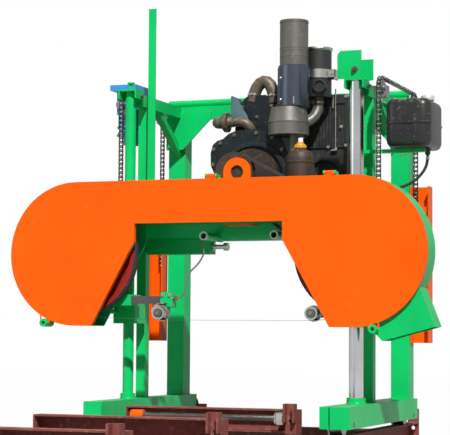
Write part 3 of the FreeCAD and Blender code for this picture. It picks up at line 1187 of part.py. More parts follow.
def build_slides():
    """The left wheel's tension slide and screw, and the right wheel's spindle."""
    y, z = slide_middle()
    bar = box("slide", (S.slide_left, deep(S.slide_front), high(S.slide_low)),
              (S.slide_right - S.slide_left, S.slide_back - S.slide_front, S.slide_high))
    half = S.slide_back - S.slide_front
    cheek = box("slide", (WHEEL_LEFT - half / 2, deep(S.slide_front), high(-1 * half / 2)),
                (half, half, S.slide_low + half / 2 + S.overrun))
    spindle = rod("slide", (WHEEL_LEFT, deep(S.spindle_front), high(0 * S.gap)), S.spindle_rad,
                  S.slide_back - S.spindle_front, "y")
    nut = rod("slide", (WHEEL_LEFT, deep(S.hub_front - S.gap - S.nut_thick / 2), high(0 * S.gap)), S.nut_rad,
              S.nut_thick / 2, "y")
    deep_hole = S.slide_right - S.box_right + S.box_wall
    hole = rod("slide", (S.slide_right + deep_hole, y, z), S.screw_rad + S.gap, S.overrun - deep_hole, "x")
    keep("tension_slide", cut("slide", fuse("slide", bar, cheek, spindle, nut), hole))
    start = S.slide_right - S.tension_travel
    screw = rod("screw", (start, y, z), S.screw_rad, S.screw_right - start, "x")
    head = rod("screw", (S.screw_right, y, z), S.screw_head, S.screw_head_long, "x")
    collar = rod("screw", (S.box_right + S.gap, y, z), S.screw_head, S.screw_head_long / 2, "x")
    keep("tension_screw", fuse("screw", screw, head, collar))
    right = rod("spindle", (WHEEL_RIGHT, deep(S.spindle_front), high(0 * S.gap)), S.spindle_rad,
                S.plate_front - S.spindle_front, "y")
    cap = rod("spindle", (WHEEL_RIGHT, deep(S.hub_front - S.gap - S.nut_thick / 2), high(0 * S.gap)), S.nut_rad,
              S.nut_thick / 2, "y")
    keep("right_spindle", fuse("spindle", right, cap))


def guide_spindle(x):
    """The pin that a guide roller turns on, with its head in front."""
    front = deep(S.band_front + S.band_wide - S.guide_body)
    pin = rod("guide", (x, front - S.slack, high(S.guide_rise)), S.guide_bolt,
              deep(S.bar_front) - front + S.slack + S.bar_side / 2, "y")
    head = rod("guide", (x, front - S.slack - S.gap, high(S.guide_rise)), S.guide_bolt * 1.7, S.slack, "y")
    return pin, head


def build_guides():
    """The sliding left guide arm, the fixed right guide, and their flanged rollers."""
    bar_low = high(S.bar_mid - S.bar_side / 2)
    block_left = S.bar_right
    bar = box("arm", (S.bar_left, deep(S.bar_front), bar_low), (S.bar_right - S.bar_left, S.bar_side, S.bar_side))
    block = box("arm", (block_left, deep(S.bar_front) - S.slack, high(S.bar_mid + S.bar_side - S.block_high)),
                (S.block_wide, S.bar_side + 2 * S.slack, S.block_high))
    tongue = box("arm", (S.guide_left - S.guide_bolt * 2, deep(S.bar_front), high(S.guide_rise - S.guide_bolt * 2)),
                 (S.guide_bolt * 4, S.bar_side, S.bar_mid - S.guide_rise))
    nozzle_z = high(S.bar_mid + S.slack)
    fitting = rod("arm", (block_left + S.block_wide, deep(S.bar_front + S.slack), nozzle_z), S.guide_bolt,
                  S.block_wide / 3, "x")
    spout = rod("arm", (block_left - S.slack * 4.5, deep(S.band_front + S.band_wide + S.slack), high(S.bar_mid - S.bar_side / 2)),
                S.slack * 0.6, S.block_wide, "x")
    drop = rod("arm", (block_left - S.slack * 4.5, deep(S.band_front + S.band_wide + S.slack),
                       high(S.guide_rise - S.slack)), S.slack * 0.6, S.bar_mid - S.bar_side / 2 - S.guide_rise + S.slack)
    stem = rod("arm", (block_left + S.block_wide / 2, deep(S.band_front + S.band_wide + S.slack),
                       high(S.bar_mid - S.bar_side / 2)), S.slack * 0.6,
               S.bar_front - S.band_front - S.band_wide - S.slack, "y")
    keep("guide_arm", fuse("arm", bar, block, tongue, fitting, spout, drop, stem, *guide_spindle(S.guide_left)))
    reach = S.guide_flange + S.guide_bolt
    fixed = box("fixed", (S.guide_right - S.guide_bolt * 2, deep(S.bar_front), high(S.guide_rise - S.guide_bolt * 2)),
                (S.window_left + S.window_wide - S.slack - S.guide_right + S.guide_bolt * 2, S.bar_side, S.guide_bolt * 4))
    upright = box("fixed", (S.window_left + S.slack, deep(S.bar_front), high(S.guide_rise)),
                  (S.window_wide - 2 * S.slack, S.bar_side, S.window_low + S.window_high - S.slack - S.guide_rise))
    back = box("fixed", (S.window_left + S.slack, deep(S.bar_front), high(S.window_low + S.slack)),
               (S.window_wide - 2 * S.slack, S.plate_front - S.bar_front, S.window_high - 2 * S.slack))
    black = box("fixed", (S.guide_right + reach - S.slack, deep(S.bar_front) - S.slack, high(S.guide_rise - S.bar_side / 2)),
                (S.bar_side, S.bar_side, S.bar_side * 1.2))
    wall = S.holder_wall
    holder_long = S.holder_right - S.holder_left
    holder = box("holder", (S.holder_left, deep(S.bar_front - wall) + S.slack / 2, bar_low - wall),
                 (holder_long, S.sleeve_front - S.bar_front + wall - S.slack / 2, S.bar_side + 2 * wall))
    room = box("holder", (S.holder_left - S.overrun, deep(S.bar_front - S.gap), bar_low - S.gap),
               (holder_long + 2 * S.overrun, S.bar_side + 2 * S.gap, S.bar_side + 2 * S.gap))
    keep("guide_brackets", group("fixed", fuse("fixed", fixed, upright, back, black, *guide_spindle(S.guide_right)),
                                 cut("holder", holder, room)))
    for side, x in (("left", S.guide_left), ("right", S.guide_right)):
        bore = S.guide_bolt + S.fit_gap
        flange = S.guide_flange_thick
        outline = [(bore, 0), (S.guide_rad, 0), (S.guide_rad, S.guide_body), (S.guide_flange, S.guide_body + S.gap),
                   (S.guide_flange, S.guide_body + flange), (bore, S.guide_body + flange)]
        front = deep(S.band_front + S.band_wide - S.guide_body)
        keep(f"guide_roller_{side}", turned("roller", (x, front, high(S.guide_rise)), "y", outline))


def build_fittings():
    """The two socket tubes under the beam, and the rod that scrapes the left wheel."""
    tubes = []
    for x in (S.stub_left, S.stub_right):
        pipe = tube("sockets", (x, deep(S.stub_front), high(S.stub_rise)), S.stub_rad, S.stub_wall,
                    S.beam_y - S.stub_front, "y")
        away = rod("sockets", (x - S.stub_rad - S.overrun, deep(S.beam_y), high(S.beam_rise)), S.beam_rad,
                   2 * S.stub_rad + 2 * S.overrun, "x")
        tubes.append(cut("sockets", pipe, away))
    keep("socket_tubes", group("sockets", *tubes))


def build_engine():
    """The engine with its bell housing, head, radiator, air cleaner and muffler."""
    left, front, back = S.block_left, deep(S.bell_front + S.bell_deep), deep(S.engine_back)
    bell = rod("engine", (S.crank_x, deep(S.bell_front), high(S.crank_rise)), S.bell_rad, S.bell_deep, "y")
    crankcase = box("engine", (left, front, high(S.engine_low)),
                    (S.engine_wide, back - front, S.case_top - S.engine_low))
    cylinders = box("engine", (S.cover_left, front, high(S.case_top)),
                    (S.cover_wide, back - front, S.engine_top - S.case_top))
    keep("engine_block", fuse("engine", bell, crankcase, cylinders))
    top = Body("rocker")
    middle = high((S.engine_top + S.cover_top) / 2)
    near, far = deep(S.cover_front), deep(S.cover_back)
    right = S.cover_left + S.cover_wide
    top.pad("XZ_Plane", near, S.cover_back - S.cover_front,
            [(S.cover_left, high(S.engine_top)), (right, high(S.engine_top)), (right, middle),
             (right - S.bed_wide, high(S.cover_top)), (S.cover_left + S.bed_wide, high(S.cover_top)),
             (S.cover_left, middle)])
    keep("rocker_cover", top.body)
    arch = torus("elbow", (S.elbow_x, deep(S.cover_front + S.elbow_rad), high(S.cover_top)), S.elbow_ring, S.elbow_rad, "y")
    lower = box("elbow", (S.elbow_x - 2 * S.elbow_ring, deep(S.cover_front) - S.elbow_rad, high(S.cover_top) - 2 * S.elbow_ring),
                (4 * S.elbow_ring, 4 * S.elbow_rad, 2 * S.elbow_ring))
    pipe_y = deep(S.flange_pipe_y)
    pipe_z = high(S.flange_pipe_rise)
    pipe = rod("pipes", (S.flange_pipe_left + S.flange_pipe_rad * 1.5, pipe_y, pipe_z), S.flange_pipe_rad,
               S.crank_x - S.flange_pipe_left, "x")
    dome = rod("pipes", (S.flange_pipe_left, pipe_y, pipe_z), S.flange_pipe_rad * 1.3, S.flange_pipe_rad * 2, "x")
    flange = rod("pipes", (S.flange_pipe_left + S.flange_pipe_rad * 3, pipe_y, pipe_z), S.flange_pipe_rad * 2.6,
                 S.flange_pipe_rad, "x")
    branch = rod("pipes", (S.crank_x - 2 * S.flange_pipe_rad, pipe_y, pipe_z), S.flange_pipe_rad * 0.85,
                 S.cover_front + S.slack - S.flange_pipe_y, "y")
    keep("engine_pipes", group("pipes", fuse("pipes", pipe, dome, flange, branch), cut("elbow", arch, lower)))
    case = box("radiator", (S.radiator_left, deep(S.radiator_front), high(S.engine_low)),
               (S.radiator_wide, S.radiator_back - S.radiator_front, S.radiator_top - S.engine_low))
    fan = rod("radiator", (S.radiator_left + S.radiator_wide / 2, deep(S.radiator_front - S.slack), high(S.crank_rise)),
              S.fan_rad, S.slack + S.overrun, "y")
    seat = S.beam_rise + S.beam_rad + S.gap
    can = rod("radiator", (S.canister_x, deep(S.canister_y), high(seat)), S.canister_rad,
              S.canister_top - seat)
    lid = rod("radiator", (S.canister_x, deep(S.canister_y), high(S.canister_top)), S.canister_cap,
              S.canister_cap)
    keep("radiator", group("radiator", fuse("radiator", case, fan), fuse("radiator", can, lid)))
    x, y = S.muffler_x, deep(S.muffler_y)
    drum = rod("muffler", (x - S.drum_shift, y, high(S.drum_low)), S.drum_rad, S.drum_step - S.drum_low)
    neck = cone("muffler", (x - S.drum_shift, y, high(S.drum_step)), S.drum_rad, S.drum_rad * 0.86, S.drum_top - S.drum_step)
    can = rod("muffler", (x, y, high(S.drum_top)), S.muffler_rad, S.muffler_top - S.drum_top)
    shield = rod("muffler", (x, y, high(S.shield_low)), S.muffler_rad + S.shield_proud, S.shield_top - S.shield_low)
    leg = rod("muffler", (x, y, high(S.exhaust_rise)), S.pipe_leg, S.drum_low - S.exhaust_rise + S.gap)
    foot = rod("muffler", (x, y, high(S.exhaust_rise)), S.pipe_leg * 0.95,
               S.exhaust_back + S.pipe_leg - S.muffler_y, "y")
    end = S.block_left + S.engine_wide + S.gap
    turn = rod("muffler", (end, deep(S.exhaust_back), high(S.exhaust_rise)), S.pipe_leg * 0.9, x - end, "x")
    keep("muffler", fuse("muffler", drum, neck, can, shield, leg, foot, turn))
    x, y = S.cleaner_x, deep(S.cleaner_y)
    can = rod("cleaner", (x, y, high(S.cleaner_low)), S.cleaner_rad, S.cleaner_top - S.cleaner_low)
    band = rod("cleaner", (x, y, high(S.clamp_low)), S.cleaner_rad + S.clamp_proud, S.clamp_high)
    port = rod("cleaner", (x + S.port_rad, y - S.cleaner_rad - S.slack, high(S.port_rise)), S.port_rad,
               S.cleaner_rad, "y")
    stay = box("cleaner", (x, y, high(S.clamp_low)), (S.cleaner_rad + S.port_rad, S.port_rad, S.clamp_high))
    lower = rod("cleaner", (x, y, high(S.drum_top)), S.intake_rad, S.cleaner_low - S.drum_top)
    seat = rod("cleaner", (x, y, high(S.drum_top)), S.intake_rad, S.radiator_front - S.cleaner_y - S.gap, "y")
    keep("air_cleaner", fuse("cleaner", can, band, port, stay, lower, seat))


def build_tank():
    """The fuel tank beside the right column, its cap, and the shelf that holds it."""
    left, front, low = S.tank_left, deep(S.tank_front), high(S.tank_low)
    round_places = [(left + dx, front + dy) for dx in (S.tank_round, S.tank_wide - S.tank_round)
                    for dy in (S.tank_round, S.tank_deep - S.tank_round)]
    posts = [rod("tank", (x, y, low), S.tank_round, S.tank_high) for x, y in round_places]
    wide = box("tank", (left, front + S.tank_round, low),
               (S.tank_wide, S.tank_deep - 2 * S.tank_round, S.tank_high))
    long = box("tank", (left + S.tank_round, front, low),
               (S.tank_wide - 2 * S.tank_round, S.tank_deep, S.tank_high))
    seam = box("tank", (left - S.seam_proud, front + S.tank_round, low + S.tank_high / 2),
               (S.tank_wide + 2 * S.seam_proud, S.tank_deep - 2 * S.tank_round, S.seam_proud))
    rim = box("tank", (left + S.tank_round, front - S.seam_proud, low + S.tank_high / 2),
              (S.tank_wide - 2 * S.tank_round, S.tank_deep + 2 * S.seam_proud, S.seam_proud))
    outlet = rod("tank", (S.cap_x, deep(S.cap_y), low - S.outlet_long), S.outlet_rad, S.outlet_long + S.overrun)
    neck = rod("tank", (S.cap_x, deep(S.cap_y), low + S.tank_high - S.overrun), S.cap_rad * 0.8,
               S.cap_rise / 2)
    keep("fuel_tank", fuse("tank", wide, long, *posts, seam, rim, outlet, neck))
    cap = turned("cap", (S.cap_x, deep(S.cap_y), low + S.tank_high + S.gap), "z",
                 [(S.cap_rad * 0.8 + S.fit_gap, 0), (S.cap_rad, 0), (S.cap_rad, S.cap_rise),
                  (S.cap_rad / 3, S.cap_rise), (S.cap_rad / 3, S.cap_rise / 2 + S.gap),
                  (S.cap_rad * 0.8 + S.fit_gap, S.cap_rise / 2 + S.gap)])
    keep("tank_cap", cap)
    arm = box("shelf", (S.upright_left, deep(S.shelf_front), high(S.shelf_low)),
              (S.tank_left + S.tank_wide - S.tank_round - S.upright_left, S.shelf_back - S.shelf_front,
               S.shelf_thick - S.gap))
    hole = rod("shelf", (S.cap_x, deep(S.cap_y), high(S.shelf_low) - S.overrun), S.outlet_rad + S.gap,
               S.shelf_thick + 2 * S.overrun)
    upright = box("shelf", (S.upright_left, deep(S.sleeve_back), high(S.sleeve_top - S.bed_wide)),
                  (S.upright_wide, S.shelf_thick, S.shelf_low - S.sleeve_top + S.bed_wide + S.slack))
    keep("tank_shelf", cut("shelf", fuse("shelf", arm, upright), hole))


def run_tube(points, radius):
    """A hose along straight runs joined by tangent arcs; returns the solid and its bend radii."""
    edges, radii = [], []
    start = points[0]
    for before, corner, after in zip(points, points[1:], points[2:]):
        towards, away = (before - corner), (after - corner)
        turn = math.pi - towards.getAngle(away)
        shorter = min(towards.Length, away.Length)
        cut_back = 0.45 * shorter
        bend = cut_back / math.tan(turn / 2)
        radii.append(bend)
        first = corner + V(towards).normalize() * cut_back
        last = corner + V(away).normalize() * cut_back
        inward = (V(towards).normalize() + V(away).normalize()).normalize()
        middle = corner + inward * (bend / math.cos(turn / 2) - bend)
        edges.append(Part.LineSegment(start, first).toShape())
        edges.append(Part.Arc(first, middle, last).toShape())
        start = last
    edges.append(Part.LineSegment(start, points[-1]).toShape())
    wire = Part.Wire(edges)
    way = (points[1] - points[0]).normalize()
    ring = Part.Wire([Part.Circle(points[0], way, radius).toShape()])
    return wire.makePipeShell([ring], True, False), radii, wire.Length


LUBE_ROUTE = [(-64, 96, 55), (-64, 92, 36), (-60, 96, 6), (-74, 102, -22), (-96, 106, -48), (-126, 104, -74),
              (-140, 100, -104), (-144, 98, -134), (-150, 97.5, -166), (-170, 97.5, -185), (-179, 97.5, -185)]
FUEL_ROUTE = [(822, 330, 404), (822, 330, 372), (806, 326, 334), (772, 320, 298), (724, 318, 274),
              (670, 319, 266), (614, 319, 270), (560, 319, 272), (508, 322, 268), (474, 345, 262),
              (462, 396, 258), (458, 448, 260), (457, 500, 264), (454, 550, 266), (444, 588, 267),
              (430, 600, 268), (415.6, 600, 268)]


def build_hoses():
    """The thin lubricating hose and the fuel hose."""
    for node, route, dia in (("lube_hose", LUBE_ROUTE, S.lube_dia), ("fuel_hose", FUEL_ROUTE, S.fuel_dia)):
        points = [V(x, y + float(FRONT), z + float(WHEEL_Z)) for x, y, z in route]
        solid, radii, long = run_tube(points, float(dia) / 2)
        share = solid.Volume / (math.pi * float(dia) ** 2 / 4 * long)
        print(node, "length", round(long), "radii", [round(r) for r in radii], "volume share", round(share, 4))
        keep(node, feature(node, solid))


build_track()
build_trolleys()
build_portal()
build_lift()
build_covers()
build_band_wheels()
keep("saw_band", feature("band", band_shape()))
build_drive()
build_head_frame()
build_slides()
build_guides()
build_fittings()
build_engine()
build_tank()
build_hoses()
merge("track_ties", "cross_ties", "end_stops")
merge("portal_posts", "inner_posts", "column_sockets")
merge("top_beam", "crossbeam", "top_pipe")
merge("top_frame", "side_beams", "knee_braces", "gusset_plates")
merge("column_tops", "column_caps", "top_guard_plates")
merge("gear_motor", "lift_motor", "motor_fan_cover")
merge("shaft_carriers", "shaft_bearings", "sprocket_bracket")
merge("cover_fittings", "cover_hinges", "lock_tubes")
merge("head_spine", "head_frame", "right_spindle")
merge("sleeves_and_shelf", "column_sleeves", "tank_shelf")
merge("guides_and_sockets", "guide_brackets", "socket_tubes")
merge("engine_top", "rocker_cover", "engine_pipes")


def finish():
    """Checks every object and writes one file for each sub-part."""
    doc.recompute()
    faults = [thing.Name for thing in doc.Objects
              if "Invalid" in thing.State or "Error" in thing.State]
    if faults:
        raise SystemExit(f"failed objects: {faults}")
    os.makedirs("parts", exist_ok=True)
    for node, thing in nodes.items():
        shape = thing.Shape
        if shape.isNull() or not shape.isValid() or not shape.Solids:
            raise SystemExit(f"{node} has no valid solid")
        shape.exportStep(f"parts/{node}.step")
    print(len(nodes), "nodes written")


finish()
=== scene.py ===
"""Looks of a portable band sawmill: materials, detailed pieces, light and camera.

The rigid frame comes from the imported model. Lengths below are millimetres unless a name says
otherwise. Places on the saw head are X, the depth behind the front face of the wheel cover, and
the height above the wheel centres; a piece whose origin is HEAD takes its places so.
"""

from __future__ import annotations

import json
import logging
import math
import random
from collections.abc import Callable, Iterable, Sequence
from dataclasses import dataclass
from enum import Enum

import bmesh
import bpy
from mathutils import Matrix, Vector

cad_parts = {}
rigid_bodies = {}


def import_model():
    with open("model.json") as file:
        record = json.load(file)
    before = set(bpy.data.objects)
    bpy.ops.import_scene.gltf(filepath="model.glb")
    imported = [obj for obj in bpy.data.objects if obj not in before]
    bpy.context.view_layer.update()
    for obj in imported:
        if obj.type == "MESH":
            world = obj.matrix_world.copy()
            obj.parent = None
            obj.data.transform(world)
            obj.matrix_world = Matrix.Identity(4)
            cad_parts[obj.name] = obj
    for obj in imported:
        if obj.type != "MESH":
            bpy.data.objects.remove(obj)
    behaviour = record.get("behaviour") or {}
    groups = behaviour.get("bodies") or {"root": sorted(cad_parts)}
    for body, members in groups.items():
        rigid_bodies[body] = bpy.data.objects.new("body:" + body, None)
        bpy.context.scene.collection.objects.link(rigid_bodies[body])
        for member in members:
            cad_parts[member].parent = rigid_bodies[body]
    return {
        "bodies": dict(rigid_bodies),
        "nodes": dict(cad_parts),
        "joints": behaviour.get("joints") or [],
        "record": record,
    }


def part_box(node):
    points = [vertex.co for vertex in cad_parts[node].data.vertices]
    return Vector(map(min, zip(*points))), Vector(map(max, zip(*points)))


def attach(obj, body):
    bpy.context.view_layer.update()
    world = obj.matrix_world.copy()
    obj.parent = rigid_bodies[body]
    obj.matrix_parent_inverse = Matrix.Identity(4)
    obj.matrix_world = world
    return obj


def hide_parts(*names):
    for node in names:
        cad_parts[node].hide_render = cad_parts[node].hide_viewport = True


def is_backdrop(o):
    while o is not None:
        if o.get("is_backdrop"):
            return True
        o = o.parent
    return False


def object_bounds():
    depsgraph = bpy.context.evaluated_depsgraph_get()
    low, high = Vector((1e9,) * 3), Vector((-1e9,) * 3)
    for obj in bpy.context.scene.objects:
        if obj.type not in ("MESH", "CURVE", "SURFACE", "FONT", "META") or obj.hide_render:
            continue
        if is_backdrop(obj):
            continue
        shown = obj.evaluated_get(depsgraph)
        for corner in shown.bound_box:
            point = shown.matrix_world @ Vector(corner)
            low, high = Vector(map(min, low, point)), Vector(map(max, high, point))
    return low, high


LOG = logging.getLogger("sawmill")

Point = tuple[float, float, float]
Place = Point | Vector
Outline = Sequence[tuple[float, float]]
Colour = tuple[float, float, float]

MM = 0.001
COVER_FRONT = 480.0
WHEEL_CENTRE = 886.0
LIFT_SHAFT_Z = 1560.0
HEAD: Point = (0.0, COVER_FRONT, WHEEL_CENTRE)

# Where the two lift chains hang: X of their planes, then Y of their strands
LEFT_CHAIN, RIGHT_CHAIN = -550.0, 652.0
LEFT_STRAND, RIGHT_STRAND = COVER_FRONT + 335, COVER_FRONT + 200
REAR_STRAND = COVER_FRONT + 795

# Noise levels between which a finish drifts, and how strong each layer of it is
BROAD_DRIFT = (0.35, 0.68)
FINE_DRIFT = (0.3, 0.9)
FINE_SHARE = 0.25
DUST_LEVEL, DUST_TOP = 0.72, 0.86
DUST_LYING = 0.16
CHIP_LEVEL = 0.78
BUMP_STRENGTH = 0.35

# Edges that meet at more degrees than this stay sharp
SHARP_DEGREES = 32


def head(x: float, deep: float, high: float) -> Point:
    """Turns a place on the saw head into the row frame.

    Args:
        x: the place along X.
        deep: the depth behind the cover's front face.
        high: the height above the wheel centres.

    Returns:
        The place in the row frame, in millimetres.
    """
    return x, deep + COVER_FRONT, high + WHEEL_CENTRE


def box_mm(node: str) -> tuple[Vector, Vector]:
    """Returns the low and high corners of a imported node's box, in millimetres."""
    low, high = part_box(node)
    return Vector(low) / MM, Vector(high) / MM


class Axis(Enum):
    """The direction that a round or drawn-out form runs in."""

    X = 0
    Y = 1
    Z = 2

    def place(self, across: float, up: float, along: float) -> Vector:
        """Returns the vector for two coordinates in the section and one along the axis."""
        if self is Axis.X:
            return Vector((along, across, up))
        if self is Axis.Y:
            return Vector((across, along, up))
        return Vector((across, up, along))

    def polar(self, radius: float, angle: float, along: float) -> Vector:
        """Returns the vector for a radius and an angle in the section and a place along the axis."""
        return self.place(radius * math.cos(angle), radius * math.sin(angle), along)


# Material nodes


class Socket:
    """An output socket of a material, with arithmetic that adds the nodes it needs."""

    def __init__(self, graph: Graph, output: bpy.types.NodeSocket) -> None:
        self.graph = graph
        self.output = output

    def __add__(self, other: Socket | float) -> Socket:
        return self.graph.math("ADD", self, other)

    def __mul__(self, other: Socket | float) -> Socket:
        return self.graph.math("MULTIPLY", self, other)

    def __gt__(self, other: float) -> Socket:
        return self.graph.math("GREATER_THAN", self, other)

    def clamp(self, low: float, high: float) -> Socket:
        """Maps low..high to 0..1 with clamped ends."""
        node = self.graph.node("ShaderNodeMapRange", {"Value": self, "From Min": low, "From Max": high})
        return Socket(self.graph, node.outputs["Result"])


class Graph:
    """The node graph of one material."""

    def __init__(self, name: str) -> None:
        self.material = bpy.data.materials.new(name)
        self.material.use_nodes = True
        self.tree = self.material.node_tree
        self.shader = self.tree.nodes["Principled BSDF"]
        self.coords = self.node("ShaderNodeTexCoord").outputs["Object"]

    def node(self, kind: str, inputs: dict[str | int, object] | None = None,
             **settings: object) -> bpy.types.Node:
        """Adds a node, sets its properties and fills or links its inputs.

        Args:
            kind: the node's bl_idname.
            inputs: values, sockets or wrapped sockets by input name or index.
            **settings: the node's own properties.

        Returns:
            The new node.
        """
        node = self.tree.nodes.new(kind)
        for key, value in settings.items():
            setattr(node, key, value)
        for key, value in (inputs or {}).items():
            self.feed(node.inputs[key], value)
        return node

    def feed(self, target: bpy.types.NodeSocket, value: object) -> None:
        """Links a socket to an input, or sets the input's value."""
        if isinstance(value, Socket):
            value = value.output
        if isinstance(value, bpy.types.NodeSocket):
            self.tree.links.new(value, target)
        elif target.type == "RGBA" and len(value) == 3:
            target.default_value = (*value, 1.0)
        else:
            target.default_value = value

    def math(self, operation: str, a: object, b: object) -> Socket:
        """Adds one arithmetic node."""
        node = self.node("ShaderNodeMath", {0: a, 1: b}, operation=operation)
        return Socket(self, node.outputs[0])

    def stretched(self, scale: Point) -> bpy.types.NodeSocket:
        """Returns the object coordinates with each axis scaled."""
        return self.node("ShaderNodeMapping", {"Vector": self.coords, "Scale": scale}).outputs[0]

    def noise(self, scale: float, detail: float = 3.0, rough: float = 0.55,
              vector: bpy.types.NodeSocket | None = None) -> Socket:
        """Adds a noise texture; the scale is in features per metre."""
        node = self.node("ShaderNodeTexNoise", {"Vector": vector or self.coords, "Scale": scale,
                                                "Detail": detail, "Roughness": rough})
        return Socket(self, node.outputs[0])

    def mix(self, factor: object, a: object, b: object) -> Socket:
        """Mixes two colours."""
        node = self.node("ShaderNodeMix", {0: factor, 6: a, 7: b}, data_type="RGBA")
        return Socket(self, node.outputs[2])

    def up(self) -> Socket:
        """Returns how far a surface faces upwards, from -1 to 1."""
        geometry = self.node("ShaderNodeNewGeometry")
        node = self.node("ShaderNodeSeparateXYZ", {0: geometry.outputs["Normal"]})
        return Socket(self, node.outputs[2])

    def bump(self, height: Socket, strength: float, distance: float) -> None:
        """Sets the shader's normal from a height."""
        node = self.node("ShaderNodeBump", {"Height": height, "Strength": strength, "Distance": distance})
        self.feed(self.shader.inputs["Normal"], node.outputs[0])

    def surface(self, **inputs: object) -> None:
        """Fills the shader's inputs; underscores stand for spaces."""
        for key, value in inputs.items():
            self.feed(self.shader.inputs[key.replace("_", " ")], value)


@dataclass(frozen=True)
class Finish:
    """What one surface looks like.

    Attributes:
        name: the material's name.
        colour: the main colour, linear.
        shade: the colour that it drifts to in broad patches.
        rough: the base roughness.
        rough_drift: how much the roughness varies.
        metal: 1 for bare metal, 0 for paint, rubber and plastic.
        coat: the strength of a clear coat.
        sheen: the specular level of the surface.
        grain: features per metre of the surface's relief.
        relief: the relief's depth in metres.
        patch: features per metre of the broad patches.
        dust: the colour of dust and stains.
        dust_share: how much of the surface they cover.
        chip: the colour that shows where the finish is chipped.
        chip_share: how much is chipped.
        lines: stretch of the grain along X, Y and Z, for turned and drawn metal.
    """

    name: str
    colour: Colour
    shade: Colour
    rough: float
    rough_drift: float = 0.12
    metal: float = 0.0
    coat: float = 0.0
    sheen: float = 0.5
    grain: float = 900.0
    relief: float = 0.0002
    patch: float = 4.0
    dust: Colour = (0.25, 0.20, 0.15)
    dust_share: float = 0.0
    chip: Colour = (0.16, 0.15, 0.14)
    chip_share: float = 0.0
    lines: Point = (1.0, 1.0, 1.0)

    def build(self) -> bpy.types.Material:
        """Makes the material."""
        graph = Graph(self.name)
        broad = graph.noise(self.patch, 5.0)
        colour = graph.mix(broad.clamp(*BROAD_DRIFT), self.colour, self.shade)
        fine = graph.noise(self.grain, 2.0, vector=graph.stretched(self.lines))
        colour = graph.mix(fine.clamp(*FINE_DRIFT) * FINE_SHARE, colour, self.shade)
        rough = broad * self.rough_drift + (self.rough - self.rough_drift / 2)
        metal: object = self.metal
        if self.dust_share:
            cloud = graph.noise(self.patch * 6, 6.0, 0.65)
            lying = graph.up().clamp(-0.2, 1.0) * DUST_LYING
            dusty = (cloud + lying).clamp(DUST_LEVEL - self.dust_share, DUST_TOP)
            colour = graph.mix(dusty, colour, self.dust)
            rough = rough + dusty * 0.35
            if self.metal:
                metal = (dusty * -0.8 + 1.0) * self.metal
        if self.chip_share:
            chipped = graph.noise(self.patch * 22, 7.0, 0.7) > CHIP_LEVEL - self.chip_share
            colour = graph.mix(chipped, colour, self.chip)
            rough = rough + chipped * 0.2
        graph.surface(Base_Color=colour, Roughness=rough, Metallic=metal, Coat_Weight=self.coat,
                      Specular_IOR_Level=self.sheen)
        if self.coat:
            graph.shader.inputs["Coat Roughness"].default_value = 0.12
        relief = fine + graph.noise(self.grain * 0.08, 2.0) * 0.8
        graph.bump(relief, BUMP_STRENGTH, self.relief)
        return graph.material


